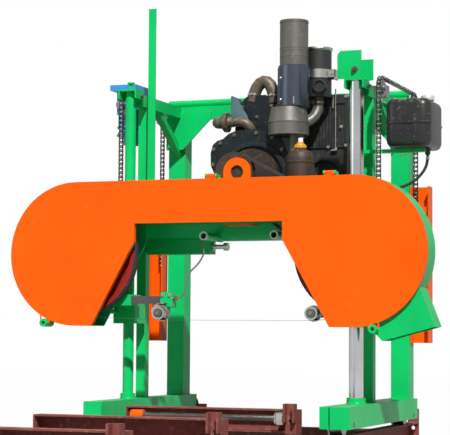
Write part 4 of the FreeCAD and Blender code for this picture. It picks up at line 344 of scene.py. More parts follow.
class Look(Enum):
    """The finishes on the machine."""

    ORANGE = Finish("powder_coat_orange", (1.0, 0.128, 0.003), (0.94, 0.110, 0.002), 0.34, sheen=0.16,
                    grain=700, relief=0.00012, dust=(0.62, 0.20, 0.06), dust_share=0.04)
    GREEN = Finish("powder_coat_green", (0.004, 0.62, 0.155), (0.003, 0.50, 0.125), 0.34, sheen=0.22,
                   grain=650, relief=0.00015, dust=(0.16, 0.42, 0.20), dust_share=0.05,
                   chip=(0.01, 0.14, 0.05), chip_share=0.03)
    TRACK = Finish("oxide_red_paint", (0.27, 0.072, 0.060), (0.19, 0.050, 0.042), 0.62, rough_drift=0.2,
                   grain=420, relief=0.0004, patch=6.0, dust=(0.40, 0.24, 0.19), dust_share=0.16,
                   chip=(0.10, 0.06, 0.05), chip_share=0.09, sheen=0.25)
    BLUE = Finish("machine_paint_blue", (0.045, 0.34, 0.74), (0.03, 0.24, 0.58), 0.38, coat=0.2,
                  grain=500, relief=0.00025, dust=(0.3, 0.35, 0.38), dust_share=0.08, sheen=0.3)
    POLISHED = Finish("ground_shaft", (0.90, 0.91, 0.92), (0.66, 0.68, 0.70), 0.16, metal=1.0, grain=500,
                      relief=0.00004, lines=(1.0, 1.0, 0.05), dust=(0.12, 0.10, 0.08), dust_share=0.03)
    STEEL = Finish("turned_steel", (0.42, 0.42, 0.43), (0.27, 0.265, 0.26), 0.36, metal=1.0, grain=800,
                   relief=0.00008, dust=(0.16, 0.11, 0.07), dust_share=0.10)
    ZINC = Finish("zinc_plate", (0.66, 0.65, 0.60), (0.50, 0.49, 0.45), 0.33, metal=1.0, grain=1200,
                  relief=0.00005, dust=(0.24, 0.20, 0.15), dust_share=0.08)
    CHAIN = Finish("oiled_chain", (0.11, 0.105, 0.10), (0.05, 0.048, 0.045), 0.32, metal=1.0,
                   relief=0.0001, dust=(0.09, 0.06, 0.04), dust_share=0.18)
    ROLLER = Finish("bright_roller", (0.60, 0.59, 0.57), (0.40, 0.39, 0.38), 0.22, metal=1.0,
                    relief=0.00005)
    ENGINE = Finish("engine_paint", (0.016, 0.023, 0.026), (0.008, 0.012, 0.014), 0.48, rough_drift=0.25,
                    grain=380, relief=0.0006, patch=7.0, dust=(0.10, 0.09, 0.07), dust_share=0.13,
                    chip=(0.10, 0.085, 0.07), chip_share=0.05, sheen=0.2)
    EXHAUST = Finish("heat_stained_steel", (0.185, 0.172, 0.155), (0.125, 0.115, 0.104), 0.46,
                     rough_drift=0.2, metal=0.55, grain=500, relief=0.0003, patch=8.0,
                     dust=(0.24, 0.21, 0.18), dust_share=0.14)
    SHIELD = Finish("blued_heat_shield", (0.13, 0.15, 0.20), (0.09, 0.10, 0.13), 0.26, metal=0.9, grain=700,
                    relief=0.0001, lines=(1.0, 1.0, 0.1), patch=7.0, dust=(0.2, 0.19, 0.18), dust_share=0.05)
    BRASS = Finish("brass_fitting", (0.62, 0.44, 0.18), (0.45, 0.30, 0.11), 0.30, metal=1.0,
                   relief=0.00008, dust=(0.2, 0.15, 0.08), dust_share=0.08)
    PLASTIC = Finish("black_plastic", (0.018, 0.018, 0.019), (0.028, 0.028, 0.029), 0.48, grain=1500,
                     relief=0.0001, dust=(0.12, 0.11, 0.10), dust_share=0.07)
    YELLOW = Finish("yellow_plastic", (0.85, 0.42, 0.02), (0.70, 0.32, 0.01), 0.42,
                    relief=0.0001, dust=(0.3, 0.2, 0.1), dust_share=0.06)
    TANK = Finish("worn_black_paint", (0.012, 0.013, 0.013), (0.024, 0.024, 0.023), 0.30,
                  rough_drift=0.25, grain=520, relief=0.0003, patch=8.0,
                  dust=(0.22, 0.21, 0.20), dust_share=0.10, chip=(0.34, 0.31, 0.28), chip_share=0.10)
    RUBBER = Finish("hose_rubber", (0.020, 0.020, 0.020), (0.032, 0.031, 0.030), 0.62, grain=700,
                    relief=0.0002, dust=(0.14, 0.12, 0.10), dust_share=0.10)
    TYRE = Finish("wheel_tyre", (0.022, 0.022, 0.022), (0.034, 0.033, 0.032), 0.72, grain=600,
                  relief=0.0003, dust=(0.20, 0.15, 0.10), dust_share=0.12)
    BELT = Finish("belt_fabric", (0.030, 0.029, 0.028), (0.045, 0.043, 0.040), 0.78, grain=1600,
                  relief=0.0002, dust=(0.12, 0.10, 0.08), dust_share=0.10)
    BAND = Finish("saw_steel", (0.24, 0.245, 0.25), (0.17, 0.17, 0.175), 0.32, metal=1.0,
                  relief=0.00003, lines=(0.06, 1.0, 1.0), dust=(0.20, 0.14, 0.09), dust_share=0.06)
    BROWN = Finish("rusted_casting", (0.060, 0.034, 0.024), (0.030, 0.018, 0.014), 0.52, grain=340,
                   relief=0.0006, patch=9.0, dust=(0.16, 0.10, 0.06), dust_share=0.14, sheen=0.4)
    DULL = Finish("dull_fastener", (0.20, 0.19, 0.15), (0.11, 0.10, 0.08), 0.5, metal=0.6,
                  relief=0.0001, dust=(0.14, 0.11, 0.08), dust_share=0.15)
    CHALK = Finish("bare_alloy_ring", (0.72, 0.71, 0.68), (0.52, 0.51, 0.48), 0.5, metal=0.35, grain=700,
                   relief=0.0001, dust=(0.3, 0.28, 0.24), dust_share=0.06)
    IRON = Finish("oiled_bar", (0.20, 0.185, 0.175), (0.12, 0.11, 0.10), 0.4, metal=0.9,
                  relief=0.0001, lines=(0.06, 1.0, 1.0), dust=(0.10, 0.07, 0.05), dust_share=0.16)
    # Dark red: the wheels' paint darkened for the shade they lie in behind the cover; the darkness is painted
    # shade
    WHEEL_PAINTED_SHADE = Finish("wheel_red_painted_shade", (0.34, 0.022, 0.014), (0.24, 0.014, 0.010), 0.42, grain=600,
                   relief=0.0002, dust=(0.30, 0.12, 0.07), dust_share=0.08, sheen=0.3)
    TUBE = Finish("clear_tube", (0.16, 0.21, 0.17), (0.10, 0.14, 0.11), 0.3, grain=700,
                  relief=0.0001, dust=(0.3, 0.32, 0.28), dust_share=0.05)
    PIPE = Finish("brown_cast_pipe", (0.150, 0.118, 0.082), (0.085, 0.066, 0.048), 0.46, grain=420,
                  relief=0.0005, patch=9.0, dust=(0.30, 0.26, 0.20), dust_share=0.14, metal=0.3)
    BRACKET = Finish("blue_grey_bracket", (0.12, 0.21, 0.23), (0.07, 0.12, 0.135), 0.42, grain=600,
                     relief=0.0002, patch=8.0, dust=(0.25, 0.28, 0.27), dust_share=0.1, sheen=0.4)
    CORE = Finish("radiator_core", (0.035, 0.036, 0.037), (0.055, 0.054, 0.052), 0.6, metal=0.5,
                  relief=0.0003, dust=(0.16, 0.14, 0.11), dust_share=0.15)


class Materials:
    """Makes each finish once."""

    made: dict[Look, bpy.types.Material] = {}

    @classmethod
    def get(cls, look: Look) -> bpy.types.Material:
        """Returns the material of a look."""
        if look not in cls.made:
            cls.made[look] = look.value.build()
        return cls.made[look]


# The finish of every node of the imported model, by its material slot
SLOT_LOOKS: dict[str, Look] = {
    "track_red": Look.TRACK, "green": Look.GREEN, "orange": Look.ORANGE, "blue": Look.BLUE,
    "polished": Look.POLISHED, "steel": Look.STEEL, "chain_steel": Look.CHAIN, "zinc": Look.ZINC,
    "engine_grey": Look.ENGINE, "exhaust": Look.EXHAUST, "black_plastic": Look.PLASTIC,
    "black_paint": Look.TANK, "rubber": Look.BELT, "tyre": Look.TYRE, "hose": Look.RUBBER,
    "band": Look.BAND,
}

# The nodes whose finish differs from their slot's
NODE_LOOKS: dict[str, Look] = {
    "engine_pulley": Look.BROWN, "engine_block": Look.ENGINE, "radiator": Look.PLASTIC,
    "guide_roller_left": Look.ROLLER, "guide_roller_right": Look.ROLLER, "clamp_screw": Look.IRON,
    # Both band wheels take the dark red finish, whose darkness is painted shade
    "band_wheel_left": Look.WHEEL_PAINTED_SHADE, "band_wheel_right": Look.WHEEL_PAINTED_SHADE, "guide_arm": Look.IRON,
}


# Mesh forms


class Forge:
    """Collects the mesh forms of one piece and turns them into an object.

    The fastener's measures are shares of its size, and a bead's are in millimetres.
    """

    WASHER_RADIUS, WASHER_THICK, WASHER_BORE = 1.05, 0.16, 0.2
    HEAD_ACROSS, HEAD_HIGH = 1.65, 0.7
    HEXAGON_CHAMFER, HEXAGON_TIP = 0.08, 0.86
    BEAD_STEP, BEAD_STEPS_ROUND = 3.2, 8
    BEAD_SWELL, BEAD_RIPPLE, BEAD_DRIFT = 0.82, 0.18, 0.08
    COIL_STEPS = 14

    def __init__(self, name: str, look: Look, body: str, slot: str,
                 origin: Point = (0.0, 0.0, 0.0)) -> None:
        self.name = name
        self.look = look
        self.body = body
        self.slot = slot
        self.origin = Vector(origin)
        self.mesh = bmesh.new()

    def ring(self, points: Iterable[Place]) -> list[bmesh.types.BMVert]:
        """Adds vertices at points, in millimetres from the piece's origin, and returns them."""
        return [self.mesh.verts.new((Vector(point) + self.origin) * MM) for point in points]

    def cap(self, rings: Sequence[Sequence[bmesh.types.BMVert]]) -> None:
        """Closes the first and the last of several rings."""
        self.mesh.faces.new(rings[0][::-1])
        self.mesh.faces.new(rings[-1])

    def prism(self, axis: Axis, low: float, high: float, outline: Outline) -> None:
        """Draws an outline out along an axis from one level to another."""
        ends = [self.ring(axis.place(u, v, level) for u, v in outline) for level in (low, high)]
        self.cap(ends)
        self.skin(ends)

    def skin(self, rings: Sequence[Sequence[bmesh.types.BMVert]], closed: bool = False) -> None:
        """Joins neighbouring rings of vertices with quads."""
        count = len(rings[0])
        pairs = list(zip(rings, rings[1:])) + ([(rings[-1], rings[0])] if closed else [])
        for one, two in pairs:
            for i in range(count):
                j = (i + 1) % count
                self.mesh.faces.new((one[i], one[j], two[j], two[i]))

    def block(self, low: Point, high: Point, edge: float = 1.0) -> None:
        """Adds a block whose edges are chamfered."""
        cut = min(edge, min(b - a for a, b in zip(low, high)) / 3)
        rings = []
        for level, inset in ((low[2], cut), (low[2] + cut, 0.0), (high[2] - cut, 0.0), (high[2], cut)):
            x0, x1 = low[0] + inset, high[0] - inset
            y0, y1 = low[1] + inset, high[1] - inset
            rings.append(self.ring((x, y, level) for x, y in (
                (x0 + cut, y0), (x1 - cut, y0), (x1, y0 + cut), (x1, y1 - cut),
                (x1 - cut, y1), (x0 + cut, y1), (x0, y1 - cut), (x0, y0 + cut))))
        self.cap(rings)
        self.skin(rings)

    def turn(self, axis: Axis, centre: Place, profile: Outline,
             steps: int = 40, ring: bool = False) -> None:
        """Turns (radius, height) pairs about an axis through a centre.

        Args:
            axis: the direction of the axis.
            centre: where height zero lies on the axis.
            profile: the outline; its ends are capped where the radius isn't zero.
            steps: how many facets go round.
            ring: joins the outline's last pair to its first, for a form with a hole.
        """
        origin = Vector(centre)
        angles = [math.tau * i / steps for i in range(steps)]
        rings = [self.ring(origin + axis.polar(radius, angle, height) for angle in angles)
                 for radius, height in profile]
        self.skin(rings, ring)
        if not ring:
            self.cap(rings)

    def collar(self, axis: Axis, centre: Place, inner: float, outer: float, length: float,
               steps: int) -> None:
        """Adds a plain ring that starts at a centre."""
        self.turn(axis, centre, [(inner, 0), (outer, 0), (outer, length), (inner, length)], steps, True)

    def rod(self, axis: Axis, centre: Place, radius: float, length: float, steps: int = 32,
            edge: float = 0.8) -> None:
        """Adds a cylinder with chamfered ends that starts at a centre."""
        cut = min(edge, radius / 3, abs(length) / 3)
        self.turn(axis, centre, [(radius - cut, 0), (radius, cut), (radius, length - cut),
                                 (radius - cut, length)], steps)

    def hexagon(self, axis: Axis, centre: Place, across: float, length: float, turn: float = 0.0) -> None:
        """Adds a hexagon nut or head with a chamfered free end."""
        origin = Vector(centre)
        chamfer = math.copysign(across * self.HEXAGON_CHAMFER, length)
        corners = [turn + math.pi / 3 * i for i in range(6)]
        rings = []
        for share, level in ((1.0, 0.0), (1.0, length - chamfer), (self.HEXAGON_TIP, length)):
            radius = across / math.sqrt(3) * share
            rings.append(self.ring(origin + axis.polar(radius, angle, level) for angle in corners))
        self.cap(rings)
        self.skin(rings)

    def bolt(self, axis: Axis, centre: Place, size: float, way: int = 1) -> None:
        """Adds a washer and a hexagon head, which point along or against the axis."""
        washer, radius = way * size * self.WASHER_THICK, size * self.WASHER_RADIUS
        self.turn(axis, centre, [(radius, 0), (radius, washer), (size * self.WASHER_BORE, washer)], 20)
        seat = Vector(centre) + axis.place(0, 0, washer)
        self.hexagon(axis, seat, size * self.HEAD_ACROSS, way * size * self.HEAD_HIGH,
                     turn=sum(centre) + sum(self.origin))

    def sweep(self, points: Sequence[Place], radius: float | Callable[[float], float], steps: int = 14,
              closed: bool = False) -> None:
        """Draws a round section along points, with no twist.

        Args:
            points: the path, in millimetres.
            radius: the radius, or a function from the share of the path to it.
            steps: how many facets go round.
            closed: joins the path's last point to its first.
        """
        path = [Vector(p) for p in points]
        count = len(path)
        rings = []
        normal = None
        for i, spot in enumerate(path):
            before = path[i - 1] if i or closed else spot
            after = path[(i + 1) % count] if i < count - 1 or closed else spot
            along = (after - before).normalized()
            if normal is None:
                guess = Vector((0, 0, 1)) if abs(along.z) < 0.9 else Vector((1, 0, 0))
                normal = along.cross(guess).normalized()
            normal = (normal - along * normal.dot(along)).normalized()
            side = along.cross(normal)
            size = radius(i / max(1, count - 1)) if callable(radius) else radius
            angles = [math.tau * k / steps for k in range(steps)]
            rings.append(self.ring(spot + (normal * math.cos(angle) + side * math.sin(angle)) * size
                                   for angle in angles))
        self.skin(rings, closed)
        if not closed:
            self.cap(rings)

    def bead(self, start: Place, end: Place, radius: float = 2.4, seed: int = 1) -> None:
        """Lays a weld bead with its ripples between two points."""
        one, two = Vector(start), Vector(end)
        length = (two - one).length
        count = max(4, int(length / self.BEAD_STEP))
        dice = random.Random(seed)
        spots = [one.lerp(two, i / count) for i in range(count + 1)]
        swell = [radius * (self.BEAD_SWELL + self.BEAD_RIPPLE * (i % 2)
                           + dice.uniform(-self.BEAD_DRIFT, self.BEAD_DRIFT)) for i in range(count + 1)]
        self.sweep(spots, lambda share: swell[round(share * count)], self.BEAD_STEPS_ROUND)

    def coil(self, axis: Axis, centre: Place, radius: float, length: float, pitch: float,
             wire: float) -> None:
        """Winds a thread or spring about an axis."""
        origin = Vector(centre)
        count = max(8, int(abs(length) / pitch * self.COIL_STEPS))
        self.sweep([origin + axis.polar(radius, math.tau * i / self.COIL_STEPS, length * i / count)
                    for i in range(count + 1)], wire, 6)

    def done(self, *replaced: str) -> bpy.types.Object:
        """Makes the object, rides it on its body and lets it stand for any nodes named."""
        bmesh.ops.remove_doubles(self.mesh, verts=self.mesh.verts, dist=1e-7)
        bmesh.ops.recalc_face_normals(self.mesh, faces=self.mesh.faces)
        data = bpy.data.meshes.new(self.name)
        self.mesh.to_mesh(data)
        self.mesh.free()
        data.polygons.foreach_set("use_smooth", [True] * len(data.polygons))
        data.set_sharp_from_angle(angle=math.radians(SHARP_DEGREES))
        data.materials.append(Materials.get(self.look))
        thing = bpy.data.objects.new(self.name, data)
        bpy.context.scene.collection.objects.link(thing)
        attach(thing, self.body)
        if replaced:
            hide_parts(*replaced)
        return thing


def round_outline(centre: tuple[float, float], radius: float, start: float, end: float,
                  steps: int) -> list[tuple[float, float]]:
    """Returns points on an arc, with its angles in degrees."""
    x, y = centre
    spots = []
    for i in range(steps + 1):
        angle = math.radians(start + (end - start) * i / steps)
        spots.append((x + radius * math.cos(angle), y + radius * math.sin(angle)))
    return spots


# Lift: chains, motor, anchors


@dataclass(frozen=True)
class ChainRun:
    """One roller chain from the head, over both sprockets and down to its counterweight."""

    node: str
    plane: float
    front: float
    rear: float
    level: float
    front_tail: float
    rear_tail: float
    pitch: float = 19.05
    teeth: int = 14
    plate_high: float = 17.0
    plate_thick: float = 1.9
    gap: float = 11.7
    roller: float = 6.03
    pin: float = 2.9
    waist: float = 0.62
    outer_share: float = 0.86
    inner_share: float = 0.96

    @property
    def radius(self) -> float:
        """The sprockets' pitch radius."""
        return self.pitch / (2 * math.sin(math.pi / self.teeth))

    @property
    def middle(self) -> float:
        """The chain's length between the two points where it leaves a straight strand."""
        return math.pi * self.radius + self.rear - self.front - 2 * self.radius

    def at(self, length: float) -> tuple[float, float, float]:
        """Returns Y, Z and the direction's angle at a length along the chain."""
        radius = self.radius
        quarter = radius * math.pi / 2
        run = self.rear - self.front - 2 * radius
        if length < 0:
            return self.front, self.level + length, math.pi / 2
        if length < quarter:
            turn = length / radius
            return (self.front + radius - radius * math.cos(turn), self.level + radius * math.sin(turn),
                    math.pi / 2 - turn)
        if length < quarter + run:
            return self.front + radius + length - quarter, self.level + radius, 0.0
        if length < 2 * quarter + run:
            turn = (length - quarter - run) / radius
            return (self.rear - radius + radius * math.sin(turn), self.level + radius * math.cos(turn),
                    -turn)
        return self.rear, self.level - (length - 2 * quarter - run), -math.pi / 2

    def plate(self, forge: Forge, one: tuple[float, float], two: tuple[float, float], x: float,
              radius: float) -> None:
        """Adds one waisted side plate between two pins."""
        along = math.degrees(math.atan2(two[1] - one[1], two[0] - one[0]))
        outline = round_outline(one, radius, along + 125, along + 235, 5)
        middle = ((one[0] + two[0]) / 2, (one[1] + two[1]) / 2)
        outline += round_outline(middle, radius * self.waist, along - 90, along - 90, 1)[:1]
        outline += round_outline(two, radius, along - 55, along + 55, 5)
        outline += round_outline(middle, radius * self.waist, along + 90, along + 90, 1)[:1]
        forge.prism(Axis.X, x, x + self.plate_thick, outline)

    def build(self) -> None:
        """Makes the plates and, as a brighter piece, the rollers and pins."""
        plates = Forge(f"{self.node}_plates", Look.CHAIN, "portal", "chain_steel")
        rollers = Forge(f"{self.node}_rollers", Look.ROLLER, "portal", "chain_steel")
        first = -math.floor((self.level - self.front_tail) / self.pitch)
        last = math.floor((self.middle + self.level - self.rear_tail) / self.pitch)
        pins = [self.at(count * self.pitch)[:2] for count in range(first, last + 1)]
        for index, (one, two) in enumerate(zip(pins, pins[1:])):
            outer = (first + index) % 2 == 0
            side = self.gap / 2 + (self.plate_thick if outer else 0.0)
            for x in (self.plane + side, self.plane - side - self.plate_thick):
                share = self.outer_share if outer else self.inner_share
                self.plate(plates, one, two, x, self.plate_high / 2 * share)
        for y, z in pins:
            rollers.rod(Axis.X, (self.plane - self.gap / 2 + 0.2, y, z), self.roller, self.gap - 0.4, 12, 0.5)
            half = self.gap / 2 + 2 * self.plate_thick + 0.9
            rollers.rod(Axis.X, (self.plane - half, y, z), self.pin, 2 * half, 10, 0.5)
        plates.done(self.node)
        rollers.done()


class Lift:
    """Chains, the gear motor's details and the bearings."""

    CHAINS = (
        ChainRun("chain_left", LEFT_CHAIN, LEFT_STRAND, REAR_STRAND, LIFT_SHAFT_Z, 736, 855),
        ChainRun("chain_right", RIGHT_CHAIN, RIGHT_STRAND, REAR_STRAND, LIFT_SHAFT_Z, 736, 855),
    )
    MOTOR_AXIS = (LEFT_CHAIN - 3, 950.6)

    def build(self) -> None:
        """Makes every piece of the lift."""
        for chain in self.CHAINS:
            chain.build()
        self.motor()
        self.bearings()

    def motor(self) -> None:
        """Adds ribs, a terminal box, a flange and bolts to the gear motor."""
        low, high = box_mm("gear_motor")
        left, back, top = low.x, high.y, high.z
        axis_x, axis_y = self.MOTOR_AXIS
        fins = Forge("motor_ribs", Look.BLUE, "portal", "blue")
        for degrees in range(0, 360, 15):
            if 250 < degrees < 290:
                continue
            cos, sin = math.cos(math.radians(degrees)), math.sin(math.radians(degrees))
            fins.prism(Axis.Z, 1470, 1576, [
                (axis_x + r * cos - w * sin, axis_y + r * sin + w * cos)
                for r, w in ((59, -1.3), (67, -0.9), (67, 0.9), (59, 1.3))])
        fins.turn(Axis.Z, (axis_x, axis_y, 1462), [(60, 0), (72, 1), (72, 7), (60, 8)], 48, True)
        fins.block((axis_x - 26, axis_y - 88, 1500), (axis_x + 26, axis_y - 58, 1560), 3)
        fins.block((axis_x - 22, axis_y - 92, 1504), (axis_x + 22, axis_y - 88, 1556), 2)
        fins.done()
        bolts = Forge("motor_bolts", Look.ZINC, "portal", "zinc")
        for x in (left + 12, left + 110):
            for y in (back - 12, back - 83):
                bolts.bolt(Axis.Z, (x, y, top), 9)
        for x in (axis_x - 17, axis_x + 17):
            for z in (1510, 1550):
                bolts.rod(Axis.Y, (x, axis_y - 94, z), 3.6, 2.4, 12, 0.6)
        bolts.hexagon(Axis.X, (left, back - 40, 1612), 20, -8)
        bolts.hexagon(Axis.X, (left, back - 40, 1582), 16, -7)
        bolts.done()
        vents = Forge("motor_fan_grille", Look.PLASTIC, "portal", "black_plastic")
        for radius in (12, 20, 28, 36):
            vents.collar(Axis.Z, (axis_x, axis_y, 1390.4), radius, radius + 3, -1.2, 32)
        vents.done()

    def bearings(self) -> None:
        """Adds flanges, bolts and grease nipples where the lift shaft and sprockets turn."""
        housings = Forge("bearing_flanges", Look.STEEL, "portal", "steel")
        bolts = Forge("bearing_bolts", Look.ZINC, "portal", "zinc")
        shaft_y = REAR_STRAND - self.CHAINS[0].radius
        x = -520.4
        housings.turn(Axis.X, (x, shaft_y, LIFT_SHAFT_Z), [
            (14, 0), (33, 0), (33, -6), (24, -8), (24, -12), (14, -12)], 36, True)
        for dy in (-19, 19):
            for dz in (-19, 19):
                bolts.bolt(Axis.X, (x, shaft_y + dy * 0.96, LIFT_SHAFT_Z + dz * 1.1 - 1), 6, -1)
        bolts.rod(Axis.Z, (x - 10, shaft_y, LIFT_SHAFT_Z + 23), 2.6, 9, 10, 0.5)
        housings.done()
        for chain, tip, tall in zip(self.CHAINS, (LEFT_CHAIN - 36, RIGHT_CHAIN + 16.5), (-7, 1.4)):
            bolts.hexagon(Axis.X, (tip, chain.front + chain.radius, LIFT_SHAFT_Z), 22, tall)
        bolts.done()


class Anchors:
    """The threaded anchors where the chains meet the head and the counterweights."""

    HEAD_LEVEL = WHEEL_CENTRE + 230
    WEIGHT_LEVEL = 1113.0

    def cheek(self, forge: Forge, place: Point, shift: float, half: float, tall: float,
              seat: float) -> None:
        """Adds one side plate of a clevis and the bolt on its outer face.

        Args:
            forge: the piece that the plate belongs to.
            place: the clevis's place in the chain's plane, at its foot.
            shift: how far along X the plate stands from that plane.
            half: half of the plate's thickness.
            tall: the plate's height.
            seat: the bolt's distance from the plane as a share of the shift.
        """
        x, y, z = place
        forge.block((x + shift - half, y - 12, z), (x + shift + half, y + 12, z + tall), 1)
        forge.bolt(Axis.X, (x + shift * seat, y, z + tall - 6), 5, 1 if shift > 0 else -1)

    def build(self) -> None:
        """Adds a clevis with its bolts at each chain end."""
        for side, x, y in (("left", LEFT_CHAIN, LEFT_STRAND), ("right", RIGHT_CHAIN, RIGHT_STRAND)):
            forge = Forge(f"chain_anchor_{side}", Look.ZINC, "head", "zinc")
            for shift in (-14.5, 14.5):
                self.cheek(forge, (x, y, self.HEAD_LEVEL), shift, 2.2, 13, 1.16)
            forge.done()
        for side, x, shifts in (("left", LEFT_CHAIN, (-14.8, 14.8)), ("right", RIGHT_CHAIN, (14.8,))):
            forge = Forge(f"weight_anchor_{side}", Look.ZINC, f"weight_{side}", "zinc")
            for shift in shifts:
                self.cheek(forge, (x, REAR_STRAND, self.WEIGHT_LEVEL), shift, 2.0, 14, 1.135)
            forge.done()


# Engine


class Engine:
    """The engine's castings, pipes, muffler, air cleaner and small parts."""

    CRANK = (50.0, 338.0)
    MUFFLER = (228.0, 385.0)
    DRUM = (204.0, 385.0)
    SHIELD_RADIUS = 67.0
    CLEANER = (304.0, 488.0)
    CANISTER = (286.0, 300.0)
    SEAT = 222.5

    def build(self) -> None:
        """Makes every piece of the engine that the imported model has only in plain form."""
        self.bell_flange()
        self.rocker_cover()
        self.flanged_pipe()
        self.breather()
        self.muffler()
        self.air_cleaner()
        self.canister()
        self.radiator()

    def piece(self, name: str, look: Look, slot: str = "engine_grey") -> Forge:
        """Starts a piece that rides on the head, in the head's own coordinates."""
        return Forge(name, look, "head", slot, HEAD)

    def bell_flange(self) -> None:
        """The lobed flange behind the flywheel disc, with its bolts."""
        lobes = [(196, 440), (180, 484), (150, 520), (112, 540), (40, 544), (-30, 540), (-66, 528),
                 (-92, 506), (-120, 498), (-140, 480), (-149, 446), (-148, 392), (-134, 362), (-120, 340)]
        outline = round_outline(self.CRANK, 172, -30, 25, 8) + lobes
        outline += round_outline(self.CRANK, 172, 186, 325, 18)
        plate = self.piece("bell_flange", Look.ENGINE)
        plate.prism(Axis.Y, 384, 402, outline)
        plate.turn(Axis.Y, (self.CRANK[0], 384, self.CRANK[1]),
                   [(152, 0), (152, -9), (140, -12), (132, -12), (132, 0)], 56, True)
        plate.done()
        bolts = self.piece("bell_bolts", Look.DULL, "zinc")
        for x, high in ((-134, 462), (-138, 396), (-104, 488), (-40, 520),
                        (60, 526), (132, 506), (176, 452), (-112, 352)):
            bolts.bolt(Axis.Y, (x, 384, high), 9, -1)
        bolts.done()

    def rocker_cover(self) -> None:
        """The cover over the valves, with its seam, fixings and the bracket at its left."""
        cover = self.piece("rocker_cover_shell", Look.ENGINE)
        outline = [(-62, 566), (138, 566), (138, 612), (130, 640), (112, 668), (92, 690), (76, 699),
                   (0, 699), (-16, 690), (-36, 668), (-54, 640), (-62, 612)]
        for near, far, grow in ((452, 458, 0), (458, 694, -5), (694, 700, 0)):
            shape = [(38 + (x - 38) * (1 + grow / 100), 560 + (z - 560) * (1 + grow / 140))
                     for x, z in outline]
            cover.prism(Axis.Y, near, far, shape)
        cover.block((-62, 452, 560), (138, 700, 568), 2)
        for x in (-8, 38, 84):
            cover.block((x - 5, 470, 668), (x + 5, 684, 699), 2.5)
        cover.done("engine_top")
        fixings = self.piece("cover_fixings", Look.DULL, "zinc")
        for x, high in ((-46, 590), (122, 590), (38, 604), (-28, 650), (104, 650)):
            fixings.bolt(Axis.Y, (x, 452, high), 8, -1)
        fixings.done("engine_top")
        bracket = self.piece("engine_bracket", Look.BRACKET)
        bracket.prism(Axis.Y, 438, 444, [(-74, 572), (0, 572), (0, 606), (-52, 690), (-74, 700)])
        bracket.block((-78, 438, 572), (-72, 560, 698), 1.5)
        bracket.block((-74, 438, 566), (10, 454, 574), 1.5)
        bracket.done()

    def flanged_pipe(self) -> None:
        """The cast coolant pipe with its domed end and bolted flange."""
        pipe = self.piece("flanged_pipe", Look.PIPE)
        profile = [(1, -150), (14, -147), (23, -137), (26, -124), (26, -113), (22, -109), (22, -105),
                   (32, -103), (32, -96), (43, -94), (43, -78), (27, -75), (22, -66), (21, -50)]
        pipe.turn(Axis.X, (0, 412, 580), profile, 36)
        path = [(-60, 412, 580), (-20, 412, 580), (0, 414, 575), (14, 420, 562),
                (22, 428, 545), (24, 440, 528), (24, 452, 520)]
        pipe.sweep(path, 20.5, 24)
        pipe.done("engine_top")
        bolts = self.piece("pipe_bolts", Look.DULL, "zinc")
        for angle in (0.8, 2.4, 3.9, 5.5):
            bolts.bolt(Axis.X, (-94, 412 + 35 * math.cos(angle), 580 + 35 * math.sin(angle)), 7, -1)
        bolts.done("engine_top")

    def breather(self) -> None:
        """The thick arched hose over the cover, with its clips."""
        arch = self.piece("breather_arch", Look.PIPE)
        spots = [(12, 474, 672), (15, 474, 694), (20, 474, 714), (30, 474, 736),
                 (44, 474, 752), (60, 474, 760), (76, 474, 757), (90, 474, 744),
                 (100, 474, 724), (106, 474, 700), (109, 474, 664)]
        arch.sweep(spots, 27, 28)
        arch.done("engine_top")
        clips = self.piece("breather_clips", Look.ZINC, "zinc")
        for x, high in ((16, 700), (107, 694)):
            clips.collar(Axis.Z, (x, 474, high), 26.5, 28.4, 8, 32)
            clips.block((x - 5, 440, high), (x + 5, 448, high + 10), 1)
        clips.done("engine_top")

    def muffler(self) -> None:
        """The seams, heat shield and rim of the muffler."""
        seams = self.piece("muffler_seams", Look.EXHAUST, "exhaust")
        for high, proud in ((990, 1.5), (880, 1.2), (868, 0.8), (844, 0.8)):
            seams.turn(Axis.Z, (*self.MUFFLER, high), [
                (60, -3), (60.5 + proud, -1.5), (60.5 + proud, 1.5), (60, 3)], 56, True)
        for high in (512, 563):
            seams.turn(Axis.Z, (*self.DRUM, high), [(86, -3), (88.6, -1), (88.6, 1), (86, 3)], 64, True)
        seams.done()
        shield = self.piece("heat_shield", Look.SHIELD, "exhaust")
        shield.turn(Axis.Z, (*self.MUFFLER, 631), [
            (65, 0), (67.2, 1), (67.2, 173), (65, 174.5)], 64, True)
        for x, y in round_outline(self.MUFFLER, self.SHIELD_RADIUS, 196, 224, 2):
            shield.sweep([(x, y, 640), (x, y, 796)], 2.6, 8)
        shield.done()
        screws = self.piece("shield_screws", Look.ZINC, "zinc")
        x, y = round_outline(self.MUFFLER, self.SHIELD_RADIUS, 232, 232, 1)[0]
        for high in (658, 750):
            screws.turn(Axis.Y, (x, y + 2, high), [(5.5, 0), (5, -4), (2, -6)], 18)
        screws.block((246, 317, 636), (253, 321, 668), 1)
        screws.done()

